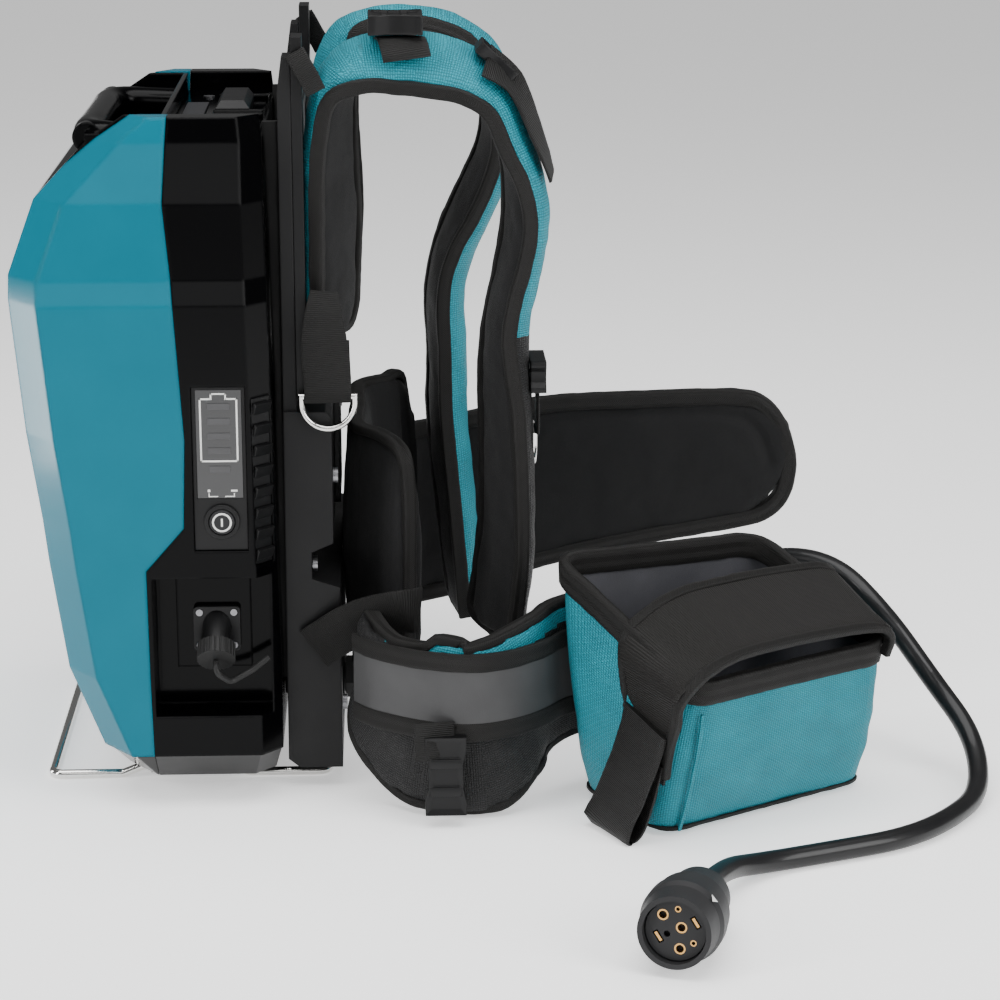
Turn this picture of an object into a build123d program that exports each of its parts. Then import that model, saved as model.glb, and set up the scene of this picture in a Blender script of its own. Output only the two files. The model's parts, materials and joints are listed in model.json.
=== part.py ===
from build123d import *
import math
import os

# Backpack battery power pack: hard case on a wire stand, back frame, height-adjustable
# shoulder harness, hip belt with a pouch, and a supply cable with a round plug.
# Millimetres. +X is the way the wearer faces, +Y is the wearer's left, +Z is up.
# The origin is the middle of the flat underside of the base.

# ---- clearances and walls
FIT = 0.3            # gap between pieces that only lie against each other
RUN = 0.08           # radial gap of a pin or shaft that turns
WALL = 3.0           # moulded walls

# ---- case
CASE_WIDTH = 300.0
CASE_TOP_WIDTH = 250.0
CASE_HEIGHT = 443.0
SEAM_Z = 36.0        # joint between the shells and the base
TRAY_Z = 12.0        # underside of the base outside its keel
BEVEL_LOW_Z = 330.0
BEVEL_HIGH_Z = 345.0
SHOULDER_Z = 392.0
BEVEL_STEP = 5.0     # how far the upper band stands in from the side wall
SIDE_BEVEL = 14.0    # front corner bevel, across Y
DECK_Z = 430.0
DECK_HALF = 110.0    # half width between the two towers
PLATE = 3.0          # deck and well thickness

# ---- handle
WELL_Z = 392.0
WELL_FRONT_X = -19.0
GRIP_X = -70.0
GRIP_Z = 426.0
GRIP_R = 9.5
HAND_HALF = 80.0

# ---- control panel and charge port, both in the right-hand wall
PANEL_X = 10.5
PANEL_Z = 226.0
PANEL_W = 34.0
PANEL_H = 106.0
PANEL_DEEP = 5.0
BUTTON_X = 11.1
BUTTON_Z = 192.0
BUTTON_R = 8.0
BUTTON_TRAVEL = 1.6
PORT_X = 3.0
PORT_Z = 109.0
PORT_W = 74.0
PORT_H = 92.0
PORT_DEEP = 26.0
PORT_FLANGE = 30.0
CAP_R = 12.2
CAP_LEN = 11.0

# ---- back frame, harness carriage and rails
RAIL_Y = 100.0
RAIL_W = 24.0
RAIL_X = 49.5
RAIL_T = 8.5
RAIL_TOP_Z = 478.0
FRAME_HALF = 115.0
FRAME_Z = 14.0
SHELF_LOW_Z = 137.0
SHELF_HIGH_Z = 165.0
FRAME_TOP_Z = 254.0
FRAME_LOW_X = 84.0
FRAME_HIGH_X = 80.0
CARRIAGE_T = 6.7
CARRIAGE_LOW_Z = 262.0
CARRIAGE_TOP_Z = 490.0
YOKE_HALF = 38.0
YOKE_T = 3.6
HARNESS_TRAVEL = 50.0

# ---- soft goods
STRAP_T = 28.0
STRAP_IN = 55.0      # inner edge of each shoulder strap, from the middle plane
STRAP_OUT = 115.0
WEB_T = 2.4
WEB_W = 30.0
LUMBAR_T = 26.0
LUMBAR_LOW_Z = 60.0
LUMBAR_TOP_Z = 236.0
WING_T = 16.0
WING_TOP_Z = 116.0
STRIP_LOW_Z = 65.0
STRIP_TOP_Z = 105.0
STRIP_T = 1.8
POUCH_WALL = 5.0
POUCH_TURN = 32.0    # degrees that the pouch front is turned from +X towards +Y
FLAP_T = 4.0

# ---- rings, stand, cable and plug
RING_WIRE = 4.0
RING_OUT = 38.0
RING_DROP = 21.0
STAND_R = 3.0
STAND_Y = 92.0
STAND_REAR_X = -109.0
STAND_FRONT_X = 74.0
CABLE_D = 13.5
GLAND_Z = 27.0
GLAND_Y = 30.0
GLAND_LEN = 34.0
PLUG_R = 24.5
MOUTH_R = 21.3
PLUG_FACE = (271.5, -417.0)
PLUG_TURN = 71.3     # degrees from +X of the plug's axis, from its face to its cable
PLUG_LEN = 84.0
SLEEVE_LEN = 30.0
PLUG_TILT = 5.0      # degrees that the plug's cable end leans down as it lies

HOUSING_LOW_X = 46.0     # front face of the housing behind the frame's lower bosses
HOUSING_HIGH_X = 43.7    # and behind its upper ones

# The case at each height: z, half width, rear wall x, seam x, front wall x.
SIDE = CASE_WIDTH / 2
TOP_HALF = CASE_TOP_WIDTH / 2
STATIONS = [
    (SEAM_Z, SIDE, -70.0, -36.0, 46.0),
    (89.0, SIDE, -91.0, -37.0, 46.0),
    (160.0, SIDE, -101.0, -37.5, 44.5),
    (188.0, SIDE, -104.0, -13.0, 44.0),
    (245.0, SIDE, -112.0, -11.0, 43.0),
    (BEVEL_LOW_Z, SIDE, -119.5, -16.0, 41.5),
    (BEVEL_HIGH_Z, SIDE - BEVEL_STEP, -119.5, -17.0, 41.0),
    (SHOULDER_Z, SIDE - BEVEL_STEP - 2, -102.0, -21.0, 40.0),
    (428.0, TOP_HALF + 6, -68.0, -19.0, 39.5),
    (CASE_HEIGHT, TOP_HALF, -50.0, -18.0, 38.0),
]
REAR_CORNER = 26.0   # rear corner bevel, across Y
REAR_BEVEL = 20.0    # and along X
FRONT_BEVEL = 13.0   # front corner bevel, along X


def rear_outline(half, rear, seam, inset):
    """Corner points of the rear shell at one height."""
    side = half - inset
    back = rear + inset
    return [
        (seam, -side),
        (back + REAR_BEVEL, -side),
        (back, -side + REAR_CORNER),
        (back, side - REAR_CORNER),
        (back + REAR_BEVEL, side),
        (seam, side),
    ]


def front_outline(half, seam, front, inset):
    """Corner points of the front housing at one height."""
    side = half - inset
    nose = front - inset
    return [
        (seam, -side),
        (nose - FRONT_BEVEL, -side),
        (nose, -side + SIDE_BEVEL),
        (nose, side - SIDE_BEVEL),
        (nose - FRONT_BEVEL, side),
        (seam, side),
    ]


def alongside(route, distance):
    """The route moved sideways by a distance, to its left as it runs."""
    moved = []
    for i, point in enumerate(route):
        before = Vector(*route[max(i - 1, 0)])
        here = Vector(*point)
        after = Vector(*route[min(i + 1, len(route) - 1)])
        arrive = (here - before) if i else (after - here)
        leave = (after - here) if i < len(route) - 1 else arrive
        way = (arrive.normalized() + leave.normalized()).normalized()
        left = Vector(-way.Y, way.X)
        stretch = max(way.dot(leave.normalized()), 0.5)
        moved.append((here.X + left.X * distance / stretch, here.Y + left.Y * distance / stretch))
    return moved


def save(piece, name):
    """Label a finished piece and write it as its own file."""
    piece.part.label = name
    export_step(piece.part, f"parts/{name}.step")


os.makedirs("parts", exist_ok=True)

# ================================================================ case shells
# The hand well and the deck recess, cut from both shells.
with BuildPart() as top_recess:
    with Locations((0, 0, CASE_HEIGHT)):
        Box(400, 2 * DECK_HALF, 2 * (CASE_HEIGHT - DECK_Z + PLATE))
    with Locations((WELL_FRONT_X - 100, 0, CASE_HEIGHT)):
        Box(200, 2 * DECK_HALF, 2 * (CASE_HEIGHT - WELL_Z))
with BuildPart() as recess_floor:
    with Locations((0, 0, CASE_HEIGHT)):
        Box(400, 2 * (DECK_HALF + WALL), 2 * (CASE_HEIGHT - DECK_Z + PLATE + WALL))
    with Locations((WELL_FRONT_X - 100 + WALL, 0, CASE_HEIGHT)):
        Box(200, 2 * (DECK_HALF + WALL), 2 * (CASE_HEIGHT - WELL_Z + WALL))

with BuildPart() as rear_cavity:
    for z, half, rear, seam, front in STATIONS:
        level = min(z, CASE_HEIGHT - WALL)
        with BuildSketch(Plane.XY.offset(level)):
            Polygon(*rear_outline(half, rear, seam + 1, WALL), align=None)
    loft(ruled=True)
    add(recess_floor.part, mode=Mode.SUBTRACT)
with BuildPart() as rear_cover:
    for z, half, rear, seam, front in STATIONS:
        with BuildSketch(Plane.XY.offset(z)):
            Polygon(*rear_outline(half, rear, seam, 0), align=None)
    loft(ruled=True)
    add(rear_cavity.part, mode=Mode.SUBTRACT)
    add(top_recess.part, mode=Mode.SUBTRACT)
save(rear_cover, "rear_cover")

with BuildPart() as front_cavity:
    for z, half, rear, seam, front in STATIONS:
        level = min(z, CASE_HEIGHT - WALL)
        with BuildSketch(Plane.XY.offset(level)):
            Polygon(*front_outline(half, seam - 1, front, WALL), align=None)
    loft(ruled=True)
    add(recess_floor.part, mode=Mode.SUBTRACT)
    with Locations((PANEL_X, -SIDE, PANEL_Z)):
        Box(PANEL_W + 2 * WALL, 2 * (PANEL_DEEP + WALL), PANEL_H + 2 * WALL, mode=Mode.SUBTRACT)
    with Locations((PORT_X, -SIDE, PORT_Z)):
        Box(PORT_W + 2 * WALL, 2 * (PORT_DEEP + WALL), PORT_H + 2 * WALL, mode=Mode.SUBTRACT)
LOUVRE_COUNT = 8
LOUVRE_PITCH = 13.5
LOUVRE_H = 7.0
LOUVRE_Z = 217.0
VENT_W = 16.0
VENT_H = LOUVRE_COUNT * LOUVRE_PITCH
VENT_T = 2.5
VENT_X = 43.0 - FRONT_BEVEL / 2
VENT_Y = SIDE - SIDE_BEVEL / 2
vent_planes = [
    Plane(
        origin=(VENT_X, side * VENT_Y, LOUVRE_Z),
        x_dir=(FRONT_BEVEL, -side * SIDE_BEVEL, 0),
        z_dir=(SIDE_BEVEL, side * FRONT_BEVEL, 0),
    )
    for side in (-1, 1)
]
SCREW_R = 2.0
SCREW_SEATS = [(-3, 70, DECK_Z), (-3, -70, DECK_Z)]
with BuildPart() as main_housing:
    for z, half, rear, seam, front in STATIONS:
        with BuildSketch(Plane.XY.offset(z)):
            Polygon(*front_outline(half, seam + FIT, front, 0), align=None)
    loft(ruled=True)
    add(front_cavity.part, mode=Mode.SUBTRACT)
    add(top_recess.part, mode=Mode.SUBTRACT)
    with Locations((PANEL_X, -SIDE, PANEL_Z)):
        Box(PANEL_W, 2 * PANEL_DEEP, PANEL_H, mode=Mode.SUBTRACT)
    with Locations((PORT_X, -SIDE, PORT_Z)):
        Box(PORT_W, 2 * PORT_DEEP, PORT_H, mode=Mode.SUBTRACT)
    with Locations((BUTTON_X, -SIDE + PANEL_DEEP, BUTTON_Z)):
        Box(22, 30, 22, mode=Mode.SUBTRACT)
    for corner in vent_planes:
        with Locations(corner):
            Box(VENT_W, VENT_H, 14, mode=Mode.SUBTRACT)
    with Locations(*SCREW_SEATS):
        Cylinder(SCREW_R + RUN, 16, mode=Mode.SUBTRACT)
save(main_housing, "main_housing")

# Slatted vents let into the front corner bevels, one each side.
with BuildPart() as side_vents:
    for corner in vent_planes:
        with Locations(corner.offset(-VENT_T / 2 - FIT)):
            Box(VENT_W - 2 * FIT, VENT_H - 2 * FIT, VENT_T)
        with Locations(corner.offset(1)):
            with GridLocations(0, LOUVRE_PITCH, 1, LOUVRE_COUNT):
                Box(VENT_W - 2, LOUVRE_H, 2.4, rotation=(20, 0, 0))
save(side_vents, "side_vents")

# ================================================================ base
KEEL_HALF = 60.0
with BuildPart() as skirt_rear:
    with BuildSketch(Plane.XY.offset(TRAY_Z + FIT)):
        Polygon(*rear_outline(SIDE - 30, -57, -36, 0), align=None)
    with BuildSketch(Plane.XY.offset(SEAM_Z - FIT)):
        Polygon(*rear_outline(SIDE - 2, -68, -36, 0), align=None)
    loft(ruled=True)
save(skirt_rear, "skirt_rear")
with BuildPart() as base_tray:
    with BuildSketch(Plane.XY.offset(TRAY_Z)):
        Polygon(*front_outline(SIDE - 30, -36 + FIT, 40, 0), align=None)
    with BuildSketch(Plane.XY.offset(SEAM_Z - FIT)):
        Polygon(*front_outline(SIDE - 2, -36 + FIT, 45, 0), align=None)
    loft(ruled=True)
    with BuildSketch(Plane.XY):
        with Locations((-5, 0)):
            Rectangle(80, 2 * KEEL_HALF)
    with BuildSketch(Plane.XY.offset(TRAY_Z)):
        with Locations((-8, 0)):
            Rectangle(94, 2 * KEEL_HALF + 40)
    loft(ruled=True)
save(base_tray, "base_tray")

# ================================================================ top deck and handle
with BuildPart() as case_hull:
    for z, half, rear, seam, front in STATIONS:
        with BuildSketch(Plane.XY.offset(z)):
            Polygon(*rear_outline(half + 1, rear, WELL_FRONT_X - FIT, 0), align=None)
    loft(ruled=True)
with BuildPart() as carry_handle:
    with Locations((WELL_FRONT_X - 50 - FIT, 0, WELL_Z + FIT + 25)):
        Box(100, 2 * (DECK_HALF - FIT), 50)
    with Locations((WELL_FRONT_X - 52 - FIT - PLATE, 0, WELL_Z + FIT + PLATE + 30)):
        Box(104, 2 * (DECK_HALF - FIT - PLATE), 60, mode=Mode.SUBTRACT)
    add(case_hull.part, mode=Mode.INTERSECT)
    arm = (DECK_HALF - HAND_HALF - FIT)
    for side in (-1, 1):
        with Locations(((GRIP_X + WELL_FRONT_X - FIT) / 2, side * (HAND_HALF + arm / 2), 425)):
            Box(WELL_FRONT_X - FIT - GRIP_X, arm, 12)
    with Locations((GRIP_X, 0, GRIP_Z)):
        Cylinder(GRIP_R, 2 * (HAND_HALF + 10), rotation=(90, 0, 0))
    with Locations((WELL_FRONT_X - 4, 0, 425)):
        Box(8 - 2 * FIT, 2 * HAND_HALF, 12)
save(carry_handle, "carry_handle")

DECK_LEN = 56.0
LATCH_TRAVEL = 8.0
LATCH_X = 18.0
LATCH_LEN = 22.0
LATCH_HALF = 36.0
with BuildPart() as top_deck:
    with Locations((WELL_FRONT_X + DECK_LEN / 2, 0, DECK_Z - PLATE / 2 + FIT / 2)):
        Box(DECK_LEN, 2 * (DECK_HALF - FIT), PLATE - FIT)
    for side in (-1, 1):
        with Locations((LATCH_X + LATCH_TRAVEL / 2, side * (LATCH_HALF + 2.5), DECK_Z + 3)):
            Box(LATCH_LEN + LATCH_TRAVEL + 2, 3, 6)
        with Locations((LATCH_X + LATCH_TRAVEL / 2, side * (LATCH_HALF + 9), DECK_Z + 2.5)):
            Box(LATCH_LEN + LATCH_TRAVEL + 2, 10, 5)
    with Locations(*SCREW_SEATS):
        CounterBoreHole(SCREW_R + RUN, 4.2, 1.2)
save(top_deck, "top_deck")
with BuildPart() as deck_label:
    with Locations((-8, 0, DECK_Z + FIT + 0.6)):
        Box(14, 68, 1.2)
save(deck_label, "deck_label")
with BuildPart() as harness_latch:
    with BuildSketch(Plane.XY.offset(DECK_Z + FIT)):
        with Locations((LATCH_X, 0)):
            Rectangle(LATCH_LEN, 2 * LATCH_HALF)
    extrude(amount=6)
    with BuildSketch(Plane.XY.offset(DECK_Z + FIT + 6)):
        with Locations((LATCH_X, 0)):
            Rectangle(LATCH_LEN, 2 * LATCH_HALF)
    extrude(amount=5, taper=35)
save(harness_latch, "harness_latch")

# ================================================================ control panel
PANEL_FACE_Y = -SIDE + PANEL_DEEP
with BuildPart() as panel_bezel:
    with Locations((PANEL_X, PANEL_FACE_Y - FIT - 1.5, PANEL_Z)):
        Box(PANEL_W - 2 * FIT, 3, PANEL_H - 2 * FIT)
    with Locations((PANEL_X, PANEL_FACE_Y - FIT - 3, PANEL_Z + 16)):
        Box(PANEL_W - 5, 2, 70, mode=Mode.SUBTRACT)
    with Locations((BUTTON_X, PANEL_FACE_Y - 2, BUTTON_Z)):
        Cylinder(BUTTON_R + 1.6, 12, rotation=(90, 0, 0), mode=Mode.SUBTRACT)
save(panel_bezel, "panel_bezel")
with BuildPart() as gauge_lens:
    with Locations((PANEL_X, PANEL_FACE_Y - FIT - 3.0 + 0.55, PANEL_Z + 16)):
        Box(PANEL_W - 5 - 2 * FIT, 0.7, 70 - 2 * FIT)
save(gauge_lens, "gauge_lens")
with BuildPart() as gauge_bars:
    with Locations((PANEL_X, PANEL_FACE_Y - FIT - 3.1, PANEL_Z + 26)):
        with Locations(Plane.XZ):
            with GridLocations(0, 9.5, 1, 4):
                Box(14, 4, 0.6)
save(gauge_bars, "gauge_bars")
with BuildPart() as status_led:
    with Locations((PANEL_X, PANEL_FACE_Y - FIT - 3.1, PANEL_Z)):
        Box(13, 0.6, 4)
save(status_led, "status_led")
with BuildPart() as button_collar:
    with Locations((BUTTON_X, PANEL_FACE_Y - 4.4, BUTTON_Z)):
        Cylinder(11.3, 2, rotation=(90, 0, 0))
    with Locations((BUTTON_X, PANEL_FACE_Y - 4.4, BUTTON_Z)):
        Cylinder(BUTTON_R + 0.5, 20, rotation=(90, 0, 0), mode=Mode.SUBTRACT)
    fillet(button_collar.edges().filter_by(GeomType.CIRCLE).sort_by(Axis.Y)[:1], 0.8)
save(button_collar, "button_collar")
with BuildPart() as power_button:
    with Locations((BUTTON_X, PANEL_FACE_Y - 2.2, BUTTON_Z)):
        Cylinder(BUTTON_R, 7.6, rotation=(90, 0, 0))
    fillet(power_button.edges().sort_by(Axis.Y)[:1], 1.0)
    with Locations((BUTTON_X, PANEL_FACE_Y + 3.2, BUTTON_Z)):
        Cylinder(3, 4, rotation=(90, 0, 0))
save(power_button, "power_button")
SWITCH_Y = PANEL_FACE_Y + 5.2 + BUTTON_TRAVEL + FIT
with BuildPart() as button_switch:
    cup_low = PANEL_FACE_Y + FIT
    cup_high = SWITCH_Y + 6
    with Locations((BUTTON_X, (cup_low + cup_high) / 2, BUTTON_Z)):
        Box(22 - 2 * FIT, cup_high - cup_low, 22 - 2 * FIT)
    with Locations((BUTTON_X, (cup_low + SWITCH_Y) / 2 - 1, BUTTON_Z)):
        Box(18, SWITCH_Y - cup_low + 2, 18, mode=Mode.SUBTRACT)
save(button_switch, "button_switch")

# ================================================================ charge port bay
BAY_Y = -SIDE + PORT_DEEP
with BuildPart() as port_plate:
    with Locations((PORT_X, BAY_Y - FIT - 1.5, PORT_Z + 12)):
        Box(48, 3, 64)
save(port_plate, "port_plate")
FLANGE_X = 5.0
FLANGE_Z = 116.0
PORT_TILT = 40.0
FLANGE_Y = BAY_Y - 2 * FIT - 3
with BuildPart() as port_flange:
    with Locations((FLANGE_X, FLANGE_Y - 2.5, FLANGE_Z)):
        Box(PORT_FLANGE, 5, PORT_FLANGE)
    fillet(port_flange.edges().filter_by(Axis.Y), 3)
    for x in (-11, 11):
        for z in (-11, 11):
            with Locations((FLANGE_X + x, FLANGE_Y - 4.5, FLANGE_Z + z)):
                Cylinder(2.4, 2, rotation=(90, 0, 0), mode=Mode.SUBTRACT)
save(port_flange, "port_flange")
with BuildPart() as case_screws:
    for x, y, z in SCREW_SEATS:
        with Locations((x, y, z - 1.1)):
            Cylinder(3.9, 2.2, align=(Align.CENTER, Align.CENTER, Align.MIN))
            Cylinder(SCREW_R, 4, align=(Align.CENTER, Align.CENTER, Align.MAX))
    for x in (-11, 11):
        for z in (-11, 11):
            with Locations((FLANGE_X + x, FLANGE_Y - 4.6, FLANGE_Z + z)):
                Cylinder(2.2, 1.4, rotation=(90, 0, 0))
save(case_screws, "case_screws")
port_axis = Plane(
    origin=(FLANGE_X, FLANGE_Y - 5 - FIT, FLANGE_Z),
    x_dir=(1, 0, 0),
    z_dir=(0, -math.cos(math.radians(PORT_TILT)), -math.sin(math.radians(PORT_TILT))),
)
with BuildPart() as port_barrel:
    with BuildSketch(port_axis):
        Circle(9.5)
    extrude(amount=12)
    with BuildSketch(port_axis):
        Circle(9.5)
    extrude(amount=-14)
    with Locations((FLANGE_X, FLANGE_Y - 5 - FIT + 20, FLANGE_Z)):
        Box(60, 40, 60, mode=Mode.SUBTRACT)
save(port_barrel, "port_barrel")
with BuildPart() as port_cap:
    with BuildSketch(port_axis.offset(12 + FIT)):
        Circle(CAP_R)
        with PolarLocations(CAP_R, 24):
            Circle(0.7, mode=Mode.SUBTRACT)
    extrude(amount=CAP_LEN)
save(port_cap, "port_cap")
cap_face = port_axis.offset(12 + FIT + CAP_LEN + 1.5)
TETHER_R = 2.0
with BuildPart() as cap_tether:
    with BuildLine() as tether_line:
        FilletPolyline(
            tuple(cap_face.origin),
            tuple(cap_face.origin + cap_face.z_dir * 8),
            (14.0, -150.0, 86.0),
            (28.0, -144.0, 92.0),
            (PORT_X + PORT_W / 2 - 1.8, -140.0, 99.0),
            radius=5,
        )
    with BuildSketch(Plane(origin=tether_line.line @ 0, z_dir=tether_line.line % 0)):
        Circle(TETHER_R)
    sweep()
save(cap_tether, "cap_tether")

# ================================================================ cells and electronics
CELL_R = 10.5
CELL_LEN = 70.0
CELL_PITCH = 23.0
CELL_X = -15.0
CELL_Z = 225.0
CELL_COLS = 6
CELL_ROWS = 10
HOLDER_HALF = 118.0
HOLDER_TOP_Z = CELL_Z + CELL_ROWS * CELL_PITCH / 2 + 2
cells_plane = Plane(origin=(CELL_X, 0, CELL_Z), x_dir=(0, 1, 0), z_dir=(1, 0, 0))
with BuildPart() as cells:
    with BuildSketch(cells_plane.offset(-CELL_LEN / 2)):
        with GridLocations(CELL_PITCH, CELL_PITCH, CELL_COLS, CELL_ROWS):
            Circle(CELL_R)
    extrude(amount=CELL_LEN)
save(cells, "cells")
with BuildPart() as cell_holders:
    for start in (-CELL_LEN / 2 + 4, CELL_LEN / 2 - 10):
        with BuildSketch(cells_plane.offset(start)):
            with Locations((0, (HOLDER_TOP_Z + SEAM_Z) / 2 - CELL_Z)):
                Rectangle(2 * HOLDER_HALF, HOLDER_TOP_Z - SEAM_Z)
            with GridLocations(CELL_PITCH, CELL_PITCH, CELL_COLS, CELL_ROWS):
                Circle(CELL_R + FIT / 2, mode=Mode.SUBTRACT)
        extrude(amount=6)
save(cell_holders, "cell_holders")
with BuildPart() as bus_bars:
    for start in (-CELL_LEN / 2 - 0.4, CELL_LEN / 2 + 0.2):
        with BuildSketch(cells_plane.offset(start)):
            with GridLocations(0, CELL_PITCH, 1, CELL_ROWS):
                Rectangle(CELL_COLS * CELL_PITCH - 8, 8)
        extrude(amount=0.2)
save(bus_bars, "bus_bars")
with BuildPart() as control_board:
    with Locations((0, 0, HOLDER_TOP_Z + FIT + 0.8)):
        Box(60, 120, 1.6)
        with Locations((0, 30, 6), (10, -30, 6)):
            Box(20, 24, 10.4)
save(control_board, "control_board")

# ================================================================ back frame
with BuildPart() as back_frame:
    with BuildSketch(Plane.XZ.offset(-FRAME_HALF)):
        Polygon(
            (48.5, FRAME_Z + 6), (56, FRAME_Z), (FRAME_LOW_X, FRAME_Z), (FRAME_LOW_X, SHELF_LOW_Z),
            (66, SHELF_LOW_Z + 6), (66, SHELF_HIGH_Z - 4), (FRAME_HIGH_X, SHELF_HIGH_Z + 2),
            (FRAME_HIGH_X, FRAME_TOP_Z - 4), (FRAME_HIGH_X - 4, FRAME_TOP_Z), (RAIL_X, FRAME_TOP_Z),
            align=None,
        )
    extrude(amount=2 * FRAME_HALF)
    with Locations((70, 0, 80)):
        Box(30, 2 * FRAME_HALF - 60, 90, mode=Mode.SUBTRACT)
    for side in (-1, 1):
        with BuildSketch(Plane.XZ.offset(-side * RAIL_Y - RAIL_W / 2)):
            Polygon(
                (RAIL_X, FRAME_TOP_Z - 2), (RAIL_X + RAIL_T, FRAME_TOP_Z - 2),
                (RAIL_X + RAIL_T, RAIL_TOP_Z), (RAIL_X + 3, RAIL_TOP_Z), (RAIL_X, RAIL_TOP_Z - 22),
                align=None,
            )
        extrude(amount=RAIL_W)
    with Locations((RAIL_X + 3, 0, 350)):
        Box(6, 2 * RAIL_Y, 24)
    for face_x, z in ((HOUSING_LOW_X, 62), (HOUSING_HIGH_X, 215)):
        for y in (-80, 80):
            with Locations((face_x + FIT + 5, y, z)):
                Cylinder(8, 10, rotation=(0, 90, 0))
save(back_frame, "back_frame")

BOLT_R = 5.0
with BuildPart() as frame_bolts:
    for side in (-1, 1):
        for x, z in ((FRAME_HIGH_X, 210.0), (66, 151.0), (FRAME_LOW_X, 56.0)):
            with Locations((x + FIT + 1.6, side * (FRAME_HALF - 10), z)):
                Cylinder(BOLT_R, 3.2, rotation=(0, 90, 0))
save(frame_bolts, "frame_bolts")

# ================================================================ wire stand
LOW = STAND_R
HIGH = TRAY_Z - STAND_R - FIT
half_stand = [
    (STAND_REAR_X, STAND_Y, LOW), (-62, STAND_Y, LOW), (-48, STAND_Y, HIGH), (8, STAND_Y, HIGH),
    (22, STAND_Y, LOW), (STAND_FRONT_X, STAND_Y, LOW), (STAND_FRONT_X, STAND_Y - 34, LOW),
]
with BuildPart() as stand_wire:
    with BuildLine() as stand_line:
        FilletPolyline(*[(x, -y, z) for x, y, z in reversed(half_stand)], *half_stand, radius=7)
    with BuildSketch(Plane(origin=stand_line.line @ 0, z_dir=stand_line.line % 0)):
        Circle(STAND_R)
    sweep()
save(stand_wire, "stand_wire")
with BuildPart() as stand_clips:
    for side in (-1, 1):
        for x in (-38, 0):
            with Locations((x, side * (STAND_Y - 3.5 - STAND_R - FIT), TRAY_Z / 2 + 1)):
                Box(12, 7, TRAY_Z - 2)
save(stand_clips, "stand_clips")

# ================================================================ harness carriage
CARRIAGE_X = RAIL_X + RAIL_T + FIT
CARRIAGE_FRONT = CARRIAGE_X + CARRIAGE_T
with BuildPart() as carriage:
    with BuildSketch(Plane.YZ.offset(CARRIAGE_X)):
        for side in (-1, 1):
            with Locations((side * RAIL_Y, (CARRIAGE_LOW_Z + CARRIAGE_TOP_Z) / 2)):
                Rectangle(RAIL_W, CARRIAGE_TOP_Z - CARRIAGE_LOW_Z)
        for z in (330, 430):
            with Locations((0, z)):
                Rectangle(2 * RAIL_Y, 34)
    extrude(amount=CARRIAGE_T)
save(carriage, "carriage")
YOKE_X = FRAME_HIGH_X + FIT
with BuildPart() as yoke_plate:
    with BuildSketch(Plane.XZ.offset(-YOKE_HALF)):
        Polygon(
            (YOKE_X, 172), (YOKE_X + YOKE_T, 172), (YOKE_X + YOKE_T, FRAME_TOP_Z + 8),
            (CARRIAGE_FRONT + FIT + YOKE_T, 296), (CARRIAGE_FRONT + FIT + YOKE_T, 440),
            (CARRIAGE_FRONT + FIT, 440), (CARRIAGE_FRONT + FIT, 292), (YOKE_X, FRAME_TOP_Z + 6),
            align=None,
        )
    extrude(amount=2 * YOKE_HALF)
    fillet(yoke_plate.edges().filter_by(Axis.X), 6)
save(yoke_plate, "yoke_plate")
with BuildPart() as yoke_rivets:
    for y in (-24, 24):
        for z in (330, 430):
            with Locations((CARRIAGE_FRONT + 2 * FIT + YOKE_T + 1.2, y, z)):
                Cylinder(4, 2.4, rotation=(0, 90, 0))
save(yoke_rivets, "yoke_rivets")

# ================================================================ shoulder straps
HALF_T = STRAP_T / 2
BACK_X = CARRIAGE_FRONT + FIT + HALF_T
right_route = [
    (BACK_X, 300), (BACK_X, 430), (98, 460), (125, 468), (160, 462), (190, 435), (205, 400),
    (207, 370), (200, 332), (193, 292), (192, 250), (192, 190), (188, 142), (186, 90),
]
left_route = [
    (BACK_X, 300), (BACK_X, 430), (98, 460), (125, 468), (160, 462), (186, 435), (193, 400),
    (183, 365), (170, 335), (161, 305), (158, 275), (160, 230), (161, 190), (166, 125), (170, 58),
]


def band(route, width, y_low, y_high):
    """A band of the given thickness along a route in the side view."""
    with BuildPart() as strip:
        with BuildSketch(Plane.XZ.offset(-y_high)):
            with BuildLine():
                Polyline(*route)
            trace(line_width=width)
        extrude(amount=y_high - y_low)
    return strip


shoulder_strap_right = band(right_route, STRAP_T, -STRAP_OUT, -STRAP_IN)
save(shoulder_strap_right, "shoulder_strap_right")
shoulder_strap_left = band(left_route, STRAP_T - 4, STRAP_IN, STRAP_OUT)
save(shoulder_strap_left, "shoulder_strap_left")

ON_STRAP = HALF_T + FIT + WEB_T / 2
WEB_IN = 70.0
WEB_OUT = WEB_IN + WEB_W
front_route = alongside(right_route[4:9], ON_STRAP)
strap_webbing_right = band(front_route, WEB_T, -WEB_OUT, -WEB_IN)
save(strap_webbing_right, "strap_webbing_right")

CHEST_T = 7.0
chest_route = alongside(right_route[2:5], HALF_T + FIT + CHEST_T / 2)[0:3]
chest_webbing = band([(110, chest_route[1][1]), (142, chest_route[1][1])], CHEST_T, -112, -72)
save(chest_webbing, "chest_webbing")
CHEST_TOP = chest_route[1][1] + CHEST_T / 2
with BuildPart() as chest_buckle:
    with Locations((123, -90, CHEST_TOP + FIT + 6.5)):
        Box(34, 40, 13)
        Box(36, 28, 5, mode=Mode.SUBTRACT)
    fillet(chest_buckle.edges().filter_by(Axis.X).group_by(Axis.Z)[-1], 3)
save(chest_buckle, "chest_buckle")
slope = Vector(right_route[5][0] - right_route[4][0], right_route[5][1] - right_route[4][1], 0).normalized()
lift = Vector(-slope.Y, slope.X, 0)
clip_mid = Vector(*right_route[4]) + slope * 12 + lift * (ON_STRAP + WEB_T / 2 + FIT + 8)
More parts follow.
